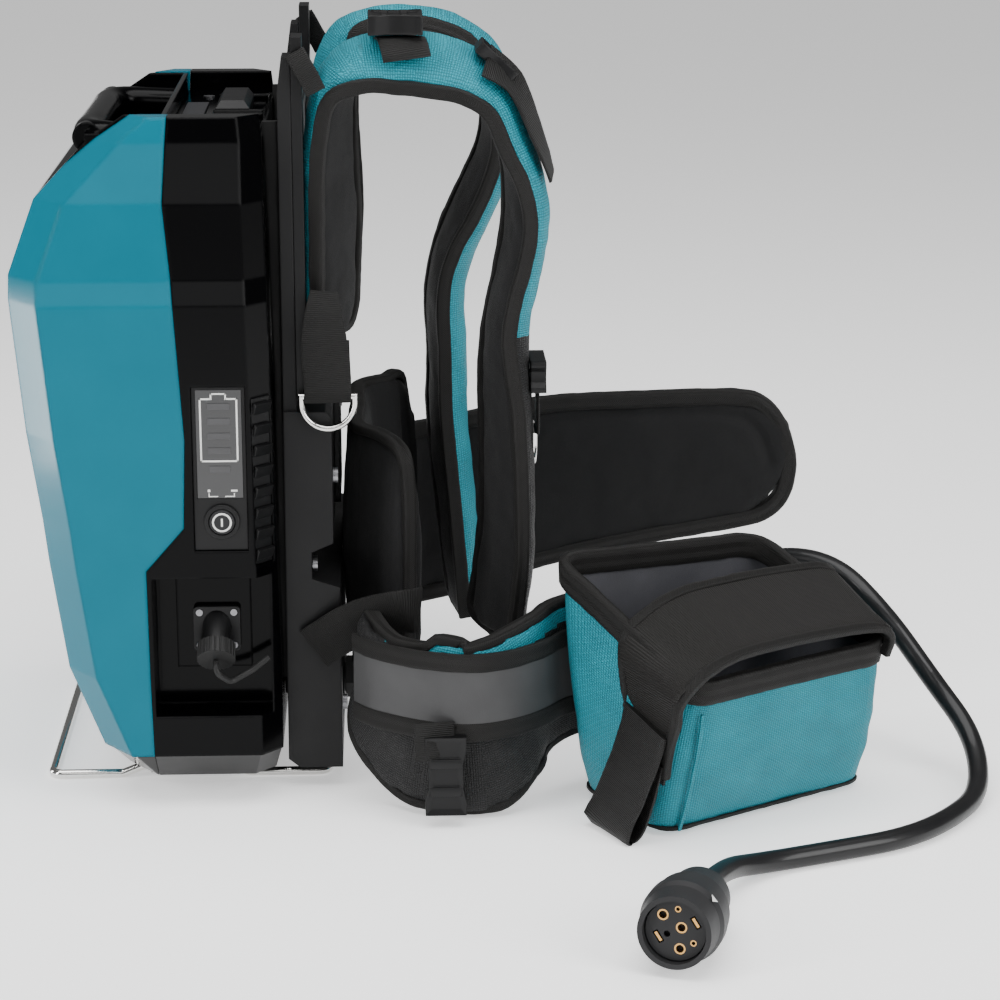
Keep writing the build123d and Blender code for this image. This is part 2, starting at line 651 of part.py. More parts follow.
with BuildPart() as strap_buckle:
    with BuildSketch(Plane.XZ.offset(WEB_IN - 2)):
        with Locations((clip_mid.X, clip_mid.Y)):
            Rectangle(26, 16, rotation=math.degrees(math.atan2(slope.Y, slope.X)))
    extrude(amount=WEB_W + 4)
    fillet(strap_buckle.edges().filter_by(Axis.Y), 4)
save(strap_buckle, "strap_buckle")

# Webbing from the carriage tops over the back of each strap.
with BuildPart() as lift_webbing:
    for side in (-1, 1):
        far = max(side * (STRAP_OUT + FIT), side * (STRAP_OUT + FIT + WEB_T))
        with BuildSketch(Plane.XZ.offset(-far)):
            Polygon((59, 480), (64, 488), (86, 462), (86, 436), (78, 436), align=None)
        extrude(amount=WEB_T)
        with Locations((CARRIAGE_X + 3.2, side * (RAIL_Y + RAIL_W / 2 + 3), 481)):
            Box(6, 5.4, 8)
save(lift_webbing, "lift_webbing")

# Webbing tails that carry the steel rings.
RING_Y = -STRAP_OUT - FIT - 3.2
RING_Z = 265.0
RING_X = 78.0
with BuildPart() as tail_webbing:
    with Locations((RING_X, RING_Y, RING_Z + 31)):
        Box(WEB_W, 6.4, 70)
    with Locations((RING_X, RING_Y, RING_Z)):
        Cylinder(RING_WIRE / 2 + RUN, WEB_W + 2, rotation=(0, 90, 0), mode=Mode.SUBTRACT)
save(tail_webbing, "tail_webbing")


def steel_ring(ring_plane):
    """A ring of round wire with a straight bar at the plane's origin."""
    reach = RING_OUT / 2 - RING_WIRE / 2
    with BuildPart() as ring:
        with BuildLine(ring_plane) as loop:
            Line((-reach, 0), (reach, 0))
            Line((reach, 0), (reach, -4))
            ThreePointArc((reach, -4), (0, -RING_DROP), (-reach, -4))
            Line((-reach, -4), (-reach, 0))
        with BuildSketch(Plane(origin=ring_plane.from_local_coords((0, 0, 0)), z_dir=ring_plane.x_dir)):
            Circle(RING_WIRE / 2)
        sweep(path=loop.wires()[0], transition=Transition.RIGHT)
    return ring


d_ring_right = steel_ring(Plane(origin=(RING_X, RING_Y, RING_Z), x_dir=(1, 0, 0), z_dir=(0, -1, 0)))
save(d_ring_right, "d_ring_right")

FRONT_X = right_route[10][0] + HALF_T + 2 * FIT + 3.2
FRONT_Z = 234.0
FRONT_Y = -85.0
with BuildPart() as front_webbing:
    with Locations((FRONT_X, FRONT_Y, FRONT_Z + 12)):
        Box(6.4, WEB_W, 32)
    with Locations((FRONT_X, FRONT_Y, FRONT_Z)):
        Cylinder(RING_WIRE / 2 + RUN, WEB_W + 2, rotation=(90, 0, 0), mode=Mode.SUBTRACT)
save(front_webbing, "front_webbing")
d_ring_front = steel_ring(Plane(origin=(FRONT_X, FRONT_Y, FRONT_Z), x_dir=(0, 1, 0), z_dir=(1, 0, 0)))
save(d_ring_front, "d_ring_front")
with BuildPart() as strap_adjuster:
    with Locations((FRONT_X + 2.6, FRONT_Y, FRONT_Z + 12 + 16 + FIT + 10)):
        Box(10.4, 38, 20)
    fillet(strap_adjuster.edges().filter_by(Axis.X), 3)
save(strap_adjuster, "strap_adjuster")

# ================================================================ hip belt


def wall_band(route, width, z_low, z_high):
    """An upright band of the given thickness along a route in plan."""
    with BuildPart() as strip:
        with BuildSketch(Plane.XY.offset(z_low)):
            with BuildLine():
                Polyline(*route)
            trace(line_width=width)
        extrude(amount=z_high - z_low)
    return strip


LUMBAR_X = FRAME_LOW_X + FIT + LUMBAR_T / 2
lumbar_pad = wall_band(
    [(129.2, -105.5), (118, -86), (LUMBAR_X, -60), (LUMBAR_X, 60), (118, 86), (129.2, 105.5)],
    LUMBAR_T, LUMBAR_LOW_Z, LUMBAR_TOP_Z,
)
save(lumbar_pad, "lumbar_pad")
POUCH_BACK = math.radians(POUCH_TURN)
CORNER = (222.2, -128.1)
BELT_RUN = 62.0
wing_route = [
    (112.5, -109.7), (101, -132), (122, -155), (150, -172), (174, -174), (202, -155), CORNER,
    (CORNER[0] + BELT_RUN * math.cos(POUCH_BACK), CORNER[1] + BELT_RUN * math.sin(POUCH_BACK)),
]
belt_wing_right = wall_band(wing_route, WING_T, 0, WING_TOP_Z)
save(belt_wing_right, "belt_wing_right")
strip_route = alongside(wing_route[1:7], -(WING_T / 2 + FIT + STRIP_T / 2))[0:5]
belt_strip_right = wall_band(strip_route, STRIP_T, STRIP_LOW_Z, STRIP_TOP_Z)
save(belt_strip_right, "belt_strip_right")
LEFT_Y = 141.0
LEFT_T = 18.0
with BuildPart() as belt_wing_left:
    with BuildSketch(Plane.XY.offset(40)):
        with BuildLine():
            Polyline((104, 121.5), (118, 121), (136, LEFT_Y), (404, LEFT_Y))
        trace(line_width=LEFT_T)
    extrude(amount=170)
    with BuildSketch(Plane.XZ.offset(-LEFT_Y - 20)):
        Polygon(
            (90, 182), (148, 182), (237, 200), (370, 203), (401, 186), (413, 152), (410, 123),
            (401, 109), (237, 84), (231, 75), (164, 55), (90, 55),
            align=None,
        )
    extrude(amount=60, mode=Mode.INTERSECT)
save(belt_wing_left, "belt_wing_left")
with BuildPart() as belt_webbing:
    with BuildSketch(Plane.XZ.offset(FRAME_HALF + FIT)):
        Polygon(
            (60, 100), (84, 121), (122, 142), (148, 134), (150, WING_TOP_Z + 2), (98, WING_TOP_Z + 2),
            (82, 90), (70, 86),
            align=None,
        )
    extrude(amount=3)
save(belt_webbing, "belt_webbing")
BUCKLE_Y = -181.6
with BuildPart() as belt_buckle:
    with Locations((150, BUCKLE_Y - 1.5, 45)):
        Box(26, 3, 32)
    with Locations((150, BUCKLE_Y - 6.5, 26)):
        Box(24, 7, 34)
        with Locations((0, 0, -6)):
            Box(14, 9, 12, mode=Mode.SUBTRACT)
save(belt_buckle, "belt_buckle")

# ================================================================ pouch
POUCH_FOOT = [(285, -214), (426, -126), (381, -48), (240, -136)]
POUCH_RIM = [(304.4, -249.8), (440.5, -164.7), (359.7, -71.3), (218.6, -141.3)]
RIM_Z = 160.0
along = Vector(math.cos(POUCH_BACK), math.sin(POUCH_BACK), 0)
deep = Vector(-math.sin(POUCH_BACK), math.cos(POUCH_BACK), 0)
RIM_SLOPE = 0.46
rim_plane = Plane(
    origin=(296, -238, 104),
    x_dir=tuple(along),
    z_dir=tuple(Vector(0, 0, 1) - deep * RIM_SLOPE),
)


def pouch_corners(z):
    """Outer corners of the pouch at one height."""
    share = z / RIM_Z
    return [
        (a[0] + (b[0] - a[0]) * share, a[1] + (b[1] - a[1]) * share)
        for a, b in zip(POUCH_FOOT, POUCH_RIM)
    ]


with BuildPart() as pouch_body:
    for z in (0, 190):
        with BuildSketch(Plane.XY.offset(z)):
            Polygon(*pouch_corners(z), align=None)
    loft(ruled=True)
    for z in (6, 200):
        with BuildSketch(Plane.XY.offset(z)):
            Polygon(*pouch_corners(z), align=None)
            offset(amount=-POUCH_WALL, kind=Kind.INTERSECTION, mode=Mode.REPLACE)
    loft(ruled=True, mode=Mode.SUBTRACT)
    split(bisect_by=rim_plane, keep=Keep.BOTTOM)
save(pouch_body, "pouch_body")
FLAP_DEEP = 62.0
with BuildPart() as pouch_flap:
    with Locations(rim_plane):
        with Locations((77, FLAP_DEEP / 2 - 8, FIT + FLAP_T / 2)):
            Box(166, FLAP_DEEP, FLAP_T)
        with Locations((77, -8 - FLAP_T / 2, -9)):
            Box(166, FLAP_T, 26)
save(pouch_flap, "pouch_flap")


def side_quad(z, out):
    """A thin plate's outline beside the pouch's left wall at one height."""
    near, far = pouch_corners(z)[0], pouch_corners(z)[3]
    run = (Vector(*far) - Vector(*near)).normalized()
    away = Vector(-run.Y, run.X)
    first = Vector(*near) + run * 2
    last = Vector(*near) + run * 48
    return [
        tuple(first + away * out)[:2], tuple(last + away * out)[:2],
        tuple(last + away * (out + 4))[:2], tuple(first + away * (out + 4))[:2],
    ]


with BuildPart() as pouch_strap:
    for z in (0, 92):
        with BuildSketch(Plane.XY.offset(z)):
            Polygon(*side_quad(z, 2 * FIT), align=None)
    loft(ruled=True)
save(pouch_strap, "pouch_strap")

# ================================================================ supply cable and plug
plug_axis = Vector(1, 0, 0).rotate(Axis.Y, PLUG_TILT).rotate(Axis.Z, PLUG_TURN)
plug_face = Vector(*PLUG_FACE, PLUG_R + SLEEVE_LEN * math.sin(math.radians(PLUG_TILT)) + 0.2)
plug_side = Vector(0, 1, 0).rotate(Axis.Z, PLUG_TURN)
plug_plane = Plane(origin=tuple(plug_face), x_dir=tuple(plug_side), z_dir=tuple(plug_axis))
plug_section = Plane(
    origin=tuple(plug_face), x_dir=tuple(plug_axis), z_dir=tuple(plug_axis.cross(plug_side)),
)
CABLE_R = CABLE_D / 2
GLAND_X = FRAME_LOW_X + FIT
FLOOR = CABLE_R + 0.2
cable_end = plug_face + plug_axis * PLUG_LEN
cable_straight = plug_face + plug_axis * (PLUG_LEN + 38)
cable_route = [
    (GLAND_X + GLAND_LEN, GLAND_Y, GLAND_Z),
    (GLAND_X + GLAND_LEN + 38, GLAND_Y, GLAND_Z),
    (204, 27, 13),
    (254, 24, 7.4),
    (300, 20, 30),
    (331, 28, 76),
    (371, 13, 117),
    (418, -23, 125),
    (450, -64, 97),
    (480, -75, 55),
    (502, -111, 28),
    (498, -160, FLOOR),
    (469, -205, FLOOR),
    (434, -236, FLOOR),
    (390, -253, FLOOR),
    (341, -271, FLOOR),
    tuple(cable_straight),
    tuple(cable_end),
]
runs = [Vector(*b) - Vector(*a) for a, b in zip(cable_route, cable_route[1:])]
cable_radii = []
for first, second in zip(runs, runs[1:]):
    turn = math.radians(first.get_angle(second))
    cable_radii.append(0.45 * min(first.length, second.length) / math.tan(turn / 2))
print("cable arc radii", [round(radius) for radius in cable_radii])
print("cable runs", [round(run.length) for run in runs])
with BuildPart() as cable:
    with BuildLine() as cable_line:
        FilletPolyline(*cable_route, radius=cable_radii)
    with BuildSketch(Plane(origin=cable_line.line @ 0, z_dir=cable_line.line % 0)):
        Circle(CABLE_R)
    sweep()
cable_length = cable_line.wires()[0].length
print("cable length", round(cable_length))
print("cable volume share", round(cable.part.volume / (math.pi * CABLE_R**2 * cable_length), 4))
save(cable, "cable")
gland_plane = Plane(origin=(GLAND_X, GLAND_Y, GLAND_Z), x_dir=(0, 1, 0), z_dir=(1, 0, 0))
with BuildPart() as cable_gland:
    with BuildSketch(gland_plane):
        RegularPolygon(15, 6)
    extrude(amount=8)
    with BuildSketch(gland_plane.offset(8)):
        Circle(12)
    with BuildSketch(gland_plane.offset(GLAND_LEN)):
        Circle(CABLE_R + 1.5)
    loft()
save(cable_gland, "cable_gland")

with BuildPart() as plug_body:
    with BuildSketch(plug_section):
        with BuildLine():
            Polyline(
                (9, 0), (9, 18.2), (SLEEVE_LEN - 6, 18.2), (SLEEVE_LEN - 6, 19.6), (SLEEVE_LEN + FIT, 19.6),
                (SLEEVE_LEN + FIT, 23), (SLEEVE_LEN + 12, 23), (SLEEVE_LEN + 18, 20), (PLUG_LEN - 16, 18),
                (PLUG_LEN - 6, 12), (PLUG_LEN, 9), (PLUG_LEN, 0), close=True,
            )
        make_face()
    revolve(axis=Axis(tuple(plug_face), tuple(plug_axis)))
save(plug_body, "plug_body")
with BuildPart() as plug_sleeve:
    with BuildSketch(plug_section):
        with BuildLine():
            Polyline(
                (0, 18.2 + RUN), (SLEEVE_LEN - 6 - RUN, 18.2 + RUN), (SLEEVE_LEN - 6 - RUN, 19.6 + RUN),
                (SLEEVE_LEN, 19.6 + RUN), (SLEEVE_LEN, PLUG_R), (SLEEVE_LEN - 10, PLUG_R),
                (SLEEVE_LEN - 14, MOUTH_R + 1.5), (0, MOUTH_R), close=True,
            )
        make_face()
    revolve(axis=Axis(tuple(plug_face), tuple(plug_axis)))
save(plug_sleeve, "plug_sleeve")
contact_plane = plug_plane.offset(9)
SOCKETS = [(7.7, 8.5), (-3.2, 2.1), (-2.7, -10.3)]
SMALL_SOCKETS = [(-0.8, 12.6), (-10.3, -6.2)]
BLADES = [(-11.2, 5.8), (9.9, -4.4)]
BLADE_TURN = 55.0
SOCKET_R = 3.2
SMALL_R = 1.8
INSERT_R = 17.4
with BuildPart() as plug_insert:
    with BuildSketch(contact_plane.offset(-FIT)):
        Circle(INSERT_R)
        with Locations(*SOCKETS):
            Circle(SOCKET_R + RUN, mode=Mode.SUBTRACT)
        with Locations(*SMALL_SOCKETS):
            Circle(SMALL_R + RUN, mode=Mode.SUBTRACT)
        with Locations(*BLADES):
            Rectangle(7.6, 3.4, rotation=BLADE_TURN, mode=Mode.SUBTRACT)
        with Locations((5.0, -2.4)):
            Circle(1.9, mode=Mode.SUBTRACT)
    extrude(amount=-4)
save(plug_insert, "plug_insert")
with BuildPart() as plug_contacts:
    with BuildSketch(contact_plane.offset(-FIT)):
        with Locations(*SOCKETS):
            Circle(SOCKET_R)
            Circle(SOCKET_R - 0.9, mode=Mode.SUBTRACT)
        with Locations(*SMALL_SOCKETS):
            Circle(SMALL_R)
            Circle(SMALL_R - 0.7, mode=Mode.SUBTRACT)
        with Locations(*BLADES):
            Rectangle(5.9, 1.6, rotation=BLADE_TURN)
    extrude(amount=-4)
save(plug_contacts, "plug_contacts")
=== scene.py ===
"""Looks of a backpack battery power pack: case, shoulder harness, hip belt, tool pouch and plug cable.

Lengths are in metres in the frame's own axes: +X ahead of the wearer, -Y to their right, Z up.
Lists of places along a piece are in millimetres, and `mm` turns them into metres.
"""

import json
import logging
import math
from collections.abc import Callable, Sequence
from dataclasses import dataclass, field
from enum import Enum
from typing import Any

import bmesh
import bpy
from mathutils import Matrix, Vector
from mathutils.kdtree import KDTree
from mathutils.noise import fractal

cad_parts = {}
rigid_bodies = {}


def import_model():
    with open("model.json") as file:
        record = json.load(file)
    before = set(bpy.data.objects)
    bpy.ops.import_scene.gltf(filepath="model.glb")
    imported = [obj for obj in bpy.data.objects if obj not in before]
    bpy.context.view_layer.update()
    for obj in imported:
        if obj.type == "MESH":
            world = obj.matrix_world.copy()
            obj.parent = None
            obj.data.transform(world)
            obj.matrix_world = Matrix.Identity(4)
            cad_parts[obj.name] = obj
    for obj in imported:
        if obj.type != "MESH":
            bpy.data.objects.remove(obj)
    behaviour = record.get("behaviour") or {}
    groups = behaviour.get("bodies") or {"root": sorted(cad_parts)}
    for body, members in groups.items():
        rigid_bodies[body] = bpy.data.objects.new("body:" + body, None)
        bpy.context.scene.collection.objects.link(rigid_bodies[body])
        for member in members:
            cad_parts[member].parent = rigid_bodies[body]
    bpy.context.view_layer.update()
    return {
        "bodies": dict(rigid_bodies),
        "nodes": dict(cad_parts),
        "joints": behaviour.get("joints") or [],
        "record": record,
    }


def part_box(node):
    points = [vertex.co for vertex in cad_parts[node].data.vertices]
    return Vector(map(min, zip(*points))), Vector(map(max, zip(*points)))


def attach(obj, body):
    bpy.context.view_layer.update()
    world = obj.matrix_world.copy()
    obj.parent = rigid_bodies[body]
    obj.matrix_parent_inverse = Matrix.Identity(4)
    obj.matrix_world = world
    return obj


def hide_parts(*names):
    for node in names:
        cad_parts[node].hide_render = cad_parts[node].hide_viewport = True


LOG = logging.getLogger("power_pack")
MM = 0.001
Colour = tuple[float, float, float]
UP = Vector((0, 0, 1))
LINE_PARTS = 16
EVEN_SHIFT = 4000.0
TINY = 1e-9


class SocketKind(Enum):
    """What a node group's input carries."""

    PLACE = "NodeSocketVector"
    NUMBER = "NodeSocketFloat"


class Way(Enum):
    """A direction of the frame, by its number."""

    AHEAD = 0
    SIDE = 1
    UP = 2


def mm(*values: float) -> Vector:
    """A place given in millimetres, as a vector in metres."""
    return Vector([value * MM for value in values])


# ================================================================ shader graphs and finishes


class Graph:
    """A node tree with short calls that add and join nodes."""

    def __init__(self, tree: bpy.types.NodeTree) -> None:
        """Keeps the tree that the calls work on."""
        self.tree = tree

    def feed(self, socket: bpy.types.NodeSocket, value: Any) -> None:
        """Joins a socket to another socket, or sets its own value."""
        if isinstance(value, bpy.types.NodeSocket):
            self.tree.links.new(value, socket)
        else:
            socket.default_value = value

    def add(self, kind: str, inputs: dict[Any, Any] | None = None, **settings: Any) -> bpy.types.Node:
        """Adds a node.

        Args:
            kind: The node's type name after "ShaderNode".
            inputs: Values or sockets, by the input's name or number.
            settings: The node's own settings.

        Returns:
            The new node.
        """
        node = self.tree.nodes.new("ShaderNode" + kind)
        for name, value in settings.items():
            setattr(node, name, value)
        for key, value in (inputs or {}).items():
            self.feed(node.inputs[key], value)
        return node

    def sum_of(self, operation: str, *values: Any) -> bpy.types.NodeSocket:
        """The result of one Math node."""
        return self.add("Math", dict(enumerate(values)), operation=operation).outputs[0]

    def mixed(self, share: Any, low: Any, high: Any) -> bpy.types.NodeSocket:
        """A colour mixed from two by a share."""
        node = self.add("Mix", {0: share, 6: low, 7: high}, data_type="RGBA")
        return node.outputs[2]

    def scaled(self, share: Any, low: float, high: float) -> bpy.types.NodeSocket:
        """A share from 0 to 1 turned into a number from low to high."""
        return self.add("MapRange", {"Value": share, "To Min": low, "To Max": high}).outputs[0]

    def bump(self, height: Any, depth: float) -> bpy.types.NodeSocket:
        """A surface normal from a height, whose whole range is depth metres."""
        return self.add("Bump", {"Height": height, "Distance": depth, "Strength": 1.0}).outputs[0]


def new_group(name: str, sockets_in: dict[str, SocketKind], sockets_out: Sequence[str]) -> tuple[Graph,
    Any, Any]:
    """Starts a shader node group.

    Args:
        name: The group's name.
        sockets_in: Its inputs' names, each with what it carries.
        sockets_out: The names of its number outputs.

    Returns:
        Its graph, its input node's sockets and its output node's sockets.
    """
    tree = bpy.data.node_groups.new(name, "ShaderNodeTree")
    for label, kind in sockets_in.items():
        tree.interface.new_socket(name=label, in_out="INPUT", socket_type=kind.value)
    for label in sockets_out:
        tree.interface.new_socket(name=label, in_out="OUTPUT", socket_type=SocketKind.NUMBER.value)
    graph = Graph(tree)
    return graph, tree.nodes.new("NodeGroupInput").outputs, tree.nodes.new("NodeGroupOutput").inputs


def mould_grain_group() -> bpy.types.NodeTree:
    """Fine spark-eroded grain with large soft patches, for moulded plastic and rubber."""
    if "mould grain" in bpy.data.node_groups:
        return bpy.data.node_groups["mould grain"]
    sockets = {"Vector": SocketKind.PLACE, "Grains per metre": SocketKind.NUMBER}
    graph, given, out = new_group("mould grain", sockets, ["Height", "Patches"])
    fine = graph.add("TexNoise", {"Vector": given[0], "Scale": given[1], "Detail": 2.0, "Roughness": 0.6})
    broad = graph.add("TexNoise", {"Vector": given[0], "Scale": 26.0, "Detail": 3.0, "Roughness": 0.55})
    patches = graph.add("MapRange", {"Value": broad.outputs[0], "From Min": 0.3, "From Max": 0.7})
    graph.feed(out[0], fine.outputs[0])
    graph.feed(out[1], patches.outputs[0])
    return graph.tree


def weave_group() -> bpy.types.NodeTree:
    """A plain weave of round yarns: warp over weft in a check."""
    if "plain weave" in bpy.data.node_groups:
        return bpy.data.node_groups["plain weave"]
    sockets = {"Vector": SocketKind.PLACE, "Yarns per metre": SocketKind.NUMBER}
    graph, given, out = new_group("plain weave", sockets, ["Height", "Yarn shade"])
    place = graph.add("SeparateXYZ", {0: given[0]})
    across = graph.sum_of("MULTIPLY", place.outputs[0], given[1])
    along = graph.sum_of("MULTIPLY", place.outputs[1], given[1])
    column, row = graph.sum_of("FLOOR", across), graph.sum_of("FLOOR", along)
    check = graph.sum_of("MODULO", graph.sum_of("ADD", column, graph.sum_of("ADD", row, EVEN_SHIFT)), 2.0)
    rounds = []
    for way in (across, along):
        turn = graph.sum_of("MULTIPLY", graph.sum_of("FRACT", way), math.pi)
        rounds.append(graph.sum_of("SINE", turn))
    over = [
        graph.sum_of("MULTIPLY", one, graph.sum_of("POWER", other, 0.4)) for one,
        other in (rounds, rounds[::-1])
    ]
    height = graph.add("Mix", {0: check, 2: over[0], 3: over[1]}).outputs[0]
    cells = graph.add("CombineXYZ", {0: column, 1: row})
    shade = graph.add("TexWhiteNoise", {"Vector": cells.outputs[0]}, noise_dimensions="2D")
    graph.feed(out[0], height)
    graph.feed(out[1], graph.sum_of("MULTIPLY", graph.sum_of("ADD", shade.outputs[0], check), 0.5))
    return graph.tree


def rib_group() -> bpy.types.NodeTree:
    """Ribs across a woven tape, broken into herringbone by a slant that turns at each band."""
    if "tape ribs" in bpy.data.node_groups:
        return bpy.data.node_groups["tape ribs"]
    sockets = {"Vector": SocketKind.PLACE}
    sockets.update({name: SocketKind.NUMBER for name in ("Ribs per metre", "Slant", "Bands per metre")})
    graph, given, out = new_group("tape ribs", sockets, ["Height", "Fleck"])
    place = graph.add("SeparateXYZ", {0: given[0]})
    band = graph.sum_of("PINGPONG", graph.sum_of("MULTIPLY", place.outputs[0], given[3]), 1.0)
    slanted = graph.sum_of(
        "ADD", place.outputs[1], graph.sum_of("MULTIPLY", graph.sum_of("DIVIDE", band, given[3]), given[2])
    )
    turn = graph.sum_of("MULTIPLY", graph.sum_of("MULTIPLY", slanted, given[1]), math.tau)
    fleck = graph.add("TexNoise", {"Vector": given[0], "Scale": 900.0, "Detail": 1.0})
    graph.feed(out[0], graph.sum_of("MULTIPLY_ADD", graph.sum_of("SINE", turn), 0.5, 0.5))
    graph.feed(out[1], fleck.outputs[0])
    return graph.tree


CLOTH_SHINE = 0.25
TAPE_SHINE = 0.22
TAPE_SHEEN = 0.02
COAT_ROUGHNESS = 0.04
METAL_GRAIN = 0.00003


@dataclass(frozen=True)
class Finish:
    """A named surface with its base colour and gloss."""

    name: str
    slot: str
    base: Colour
    roughness: float

    def material(self) -> bpy.types.Material:
        """The material of this finish, built at its first use."""
        known = bpy.data.materials.get(self.name)
        if known is not None:
            return known
        material = bpy.data.materials.new(self.name)
        material.use_nodes = True
        graph = Graph(material.node_tree)
        material.node_tree.nodes.clear()
        shader = graph.add("BsdfPrincipled", {"Base Color": (*self.base, 1), "Roughness": self.roughness})
        graph.feed(graph.add("OutputMaterial").inputs[0], shader.outputs[0])
        self.paint(graph, shader)
        return material

    def paint(self, graph: Graph, shader: bpy.types.Node) -> None:
        """Adds the finish's own pattern to the plain shader."""

    def tinted(self, amount: float) -> tuple[float, float, float, float]:
        """The base colour made lighter or darker by an amount."""
        return tuple(min(1.0, part * amount) for part in self.base) + (1.0,)


@dataclass(frozen=True)
class Moulded(Finish):
    """Moulded plastic or rubber with a fine grain, soft patches of gloss and an optional clear coat."""

    grains: float = 2600.0
    grain_depth: float = 0.00005
    coat: float = 0.0
    patch: float = 0.12
    shine: float = 0.2
    edge: float = 0.0

    def paint(self, graph: Graph, shader: bpy.types.Node) -> None:
        """Grain as bump, and patches in colour and gloss."""
        where = graph.add("TexCoord").outputs["Object"]
        grain = graph.add("Group", node_tree=mould_grain_group())
        graph.feed(grain.inputs[0], where)
        graph.feed(grain.inputs[1], self.grains)
        colour = graph.mixed(grain.outputs[1], self.tinted(1 - self.patch), self.tinted(1 + self.patch))
        graph.feed(shader.inputs["Base Color"], colour)
        least, most = (self.roughness * (1 + side * self.patch) for side in (-1, 1))
        rough = graph.scaled(grain.outputs[1], least, most)
        graph.feed(shader.inputs["Roughness"], rough)
        normal = graph.bump(grain.outputs[0], self.grain_depth)
        graph.feed(shader.inputs["Normal"], normal)
        if self.edge:
            rounded = graph.add("Bevel", {"Radius": self.edge}, samples=4)
            graph.feed(normal.node.inputs["Normal"], rounded.outputs[0])
        shader.inputs["Coat Weight"].default_value = self.coat
        shader.inputs["Specular IOR Level"].default_value = self.shine
        shader.inputs["Coat Roughness"].default_value = COAT_ROUGHNESS


@dataclass(frozen=True)
class Metal(Finish):
    """Metal with fine drawing lines and a little tarnish."""

    lines: float = 900.0

    def paint(self, graph: Graph, shader: bpy.types.Node) -> None:
        """Fine noise in gloss and height."""
        where = graph.add("TexCoord").outputs["Object"]
        fine = graph.add("TexNoise", {"Vector": where, "Scale": self.lines, "Detail": 3.0})
        graph.feed(shader.inputs["Roughness"],
                   graph.scaled(fine.outputs[0], self.roughness * 0.6, self.roughness * 1.5))
        graph.feed(shader.inputs["Base Color"],
                   graph.mixed(fine.outputs[0], self.tinted(0.85), self.tinted(1.1)))
        graph.feed(shader.inputs["Normal"], graph.bump(fine.outputs[0], METAL_GRAIN))
        shader.inputs["Metallic"].default_value = 1.0


@dataclass(frozen=True)
class Woven(Finish):
    """Plain-woven nylon on the piece's own UV map, which is in metres."""

    yarns: float = 900.0
    depth: float = 0.0003
    sheen: float = 0.1
    # how far the painted yarn highlight and painted shade lift and darken the base colour
    contrast: float = 0.35

    def paint(self, graph: Graph, shader: bpy.types.Node) -> None:
        """Yarns as bump, and as painted highlight on each yarn's crest and painted shade where it dips
        under the next, varied by a random tone per yarn, with broad uneven wear.
        """
        where = graph.add("TexCoord").outputs["UV"]
        weave = graph.add("Group", node_tree=weave_group())
        graph.feed(weave.inputs[0], where)
        graph.feed(weave.inputs[1], self.yarns)
        broad = graph.add("TexNoise", {"Vector": where, "Scale": 35.0, "Detail": 3.0}).outputs[0]
        # painted highlight and painted shade: colour follows yarn height, scaled by a random tone per yarn
        yarn_shading_and_tone = graph.mixed(
            graph.sum_of("MULTIPLY", weave.outputs[0], graph.scaled(weave.outputs[1], 0.6, 1.0)),
            self.tinted(1 - self.contrast), self.tinted(1 + self.contrast),
        )
        layers = {0: 0.35, 6: yarn_shading_and_tone, 7: broad}
        colour = graph.add("Mix", layers, data_type="RGBA", blend_type="SOFT_LIGHT")
        graph.feed(shader.inputs["Base Color"], colour.outputs[2])
        graph.feed(shader.inputs["Roughness"],
                   graph.scaled(weave.outputs[1], self.roughness * 0.8, self.roughness))
        graph.feed(shader.inputs["Normal"], graph.bump(weave.outputs[0], self.depth))
        shader.inputs["Sheen Weight"].default_value = self.sheen
        shader.inputs["Specular IOR Level"].default_value = CLOTH_SHINE


@dataclass(frozen=True)
class Ribbed(Finish):
    """Woven tape with ribs, on the piece's own UV map, which is in metres."""

    ribs: float = 620.0
    slant: float = 0.0
    bands: float = 160.0
    depth: float = 0.0004

    def paint(self, graph: Graph, shader: bpy.types.Node) -> None:
        """Ribs as bump, and as light and dark lines: painted highlight on the rib crests and painted shade
        in the grooves between them, broken by random flecks.
        """
        where = graph.add("TexCoord").outputs["UV"]
        ribs = graph.add("Group", node_tree=rib_group())
        for place, value in enumerate((where, self.ribs, self.slant, self.bands)):
            graph.feed(ribs.inputs[place], value)
        # painted highlight on rib crests and painted shade in the grooves: colour follows rib height,
        # broken by random flecks
        lit = graph.sum_of("MULTIPLY", ribs.outputs[0], graph.scaled(ribs.outputs[1], 0.5, 1.2))
        graph.feed(shader.inputs["Base Color"], graph.mixed(lit, self.tinted(0.7), self.tinted(1.5)))
        graph.feed(shader.inputs["Roughness"],
                   graph.scaled(ribs.outputs[1], self.roughness * 0.85, self.roughness))
        graph.feed(shader.inputs["Normal"], graph.bump(ribs.outputs[0], self.depth))
        shader.inputs["Sheen Weight"].default_value = TAPE_SHEEN
        shader.inputs["Specular IOR Level"].default_value = TAPE_SHINE


TEAL_GLOSS = Moulded("gloss teal shell", "shell_teal", (0.0, 0.112, 0.162), 0.13,
                     grains=900.0, grain_depth=0.000008, patch=0.03, shine=0.11, edge=0.004)
BLACK_GLOSS = Moulded("gloss black shell", "shell_black", (0.0006, 0.0006, 0.0008), 0.13,
                      grains=900.0, grain_depth=0.000008, patch=0.03, shine=0.09, edge=0.0025)
BLACK_SATIN = Moulded("satin black plastic", "part_black", (0.003, 0.003, 0.0033), 0.4,
                      grains=2400.0, shine=0.25, edge=0.001)
FRAME_BLACK = Moulded("grained black frame", "part_black", (0.0035, 0.0035, 0.0038), 0.52,
                      grains=1900.0, grain_depth=0.00009, shine=0.25, edge=0.0015)
STEEL = Metal("bright wire", "steel", (0.72, 0.71, 0.69), 0.14)
SCREW = Metal("dark screw steel", "screw_steel", (0.25, 0.25, 0.26), 0.34)
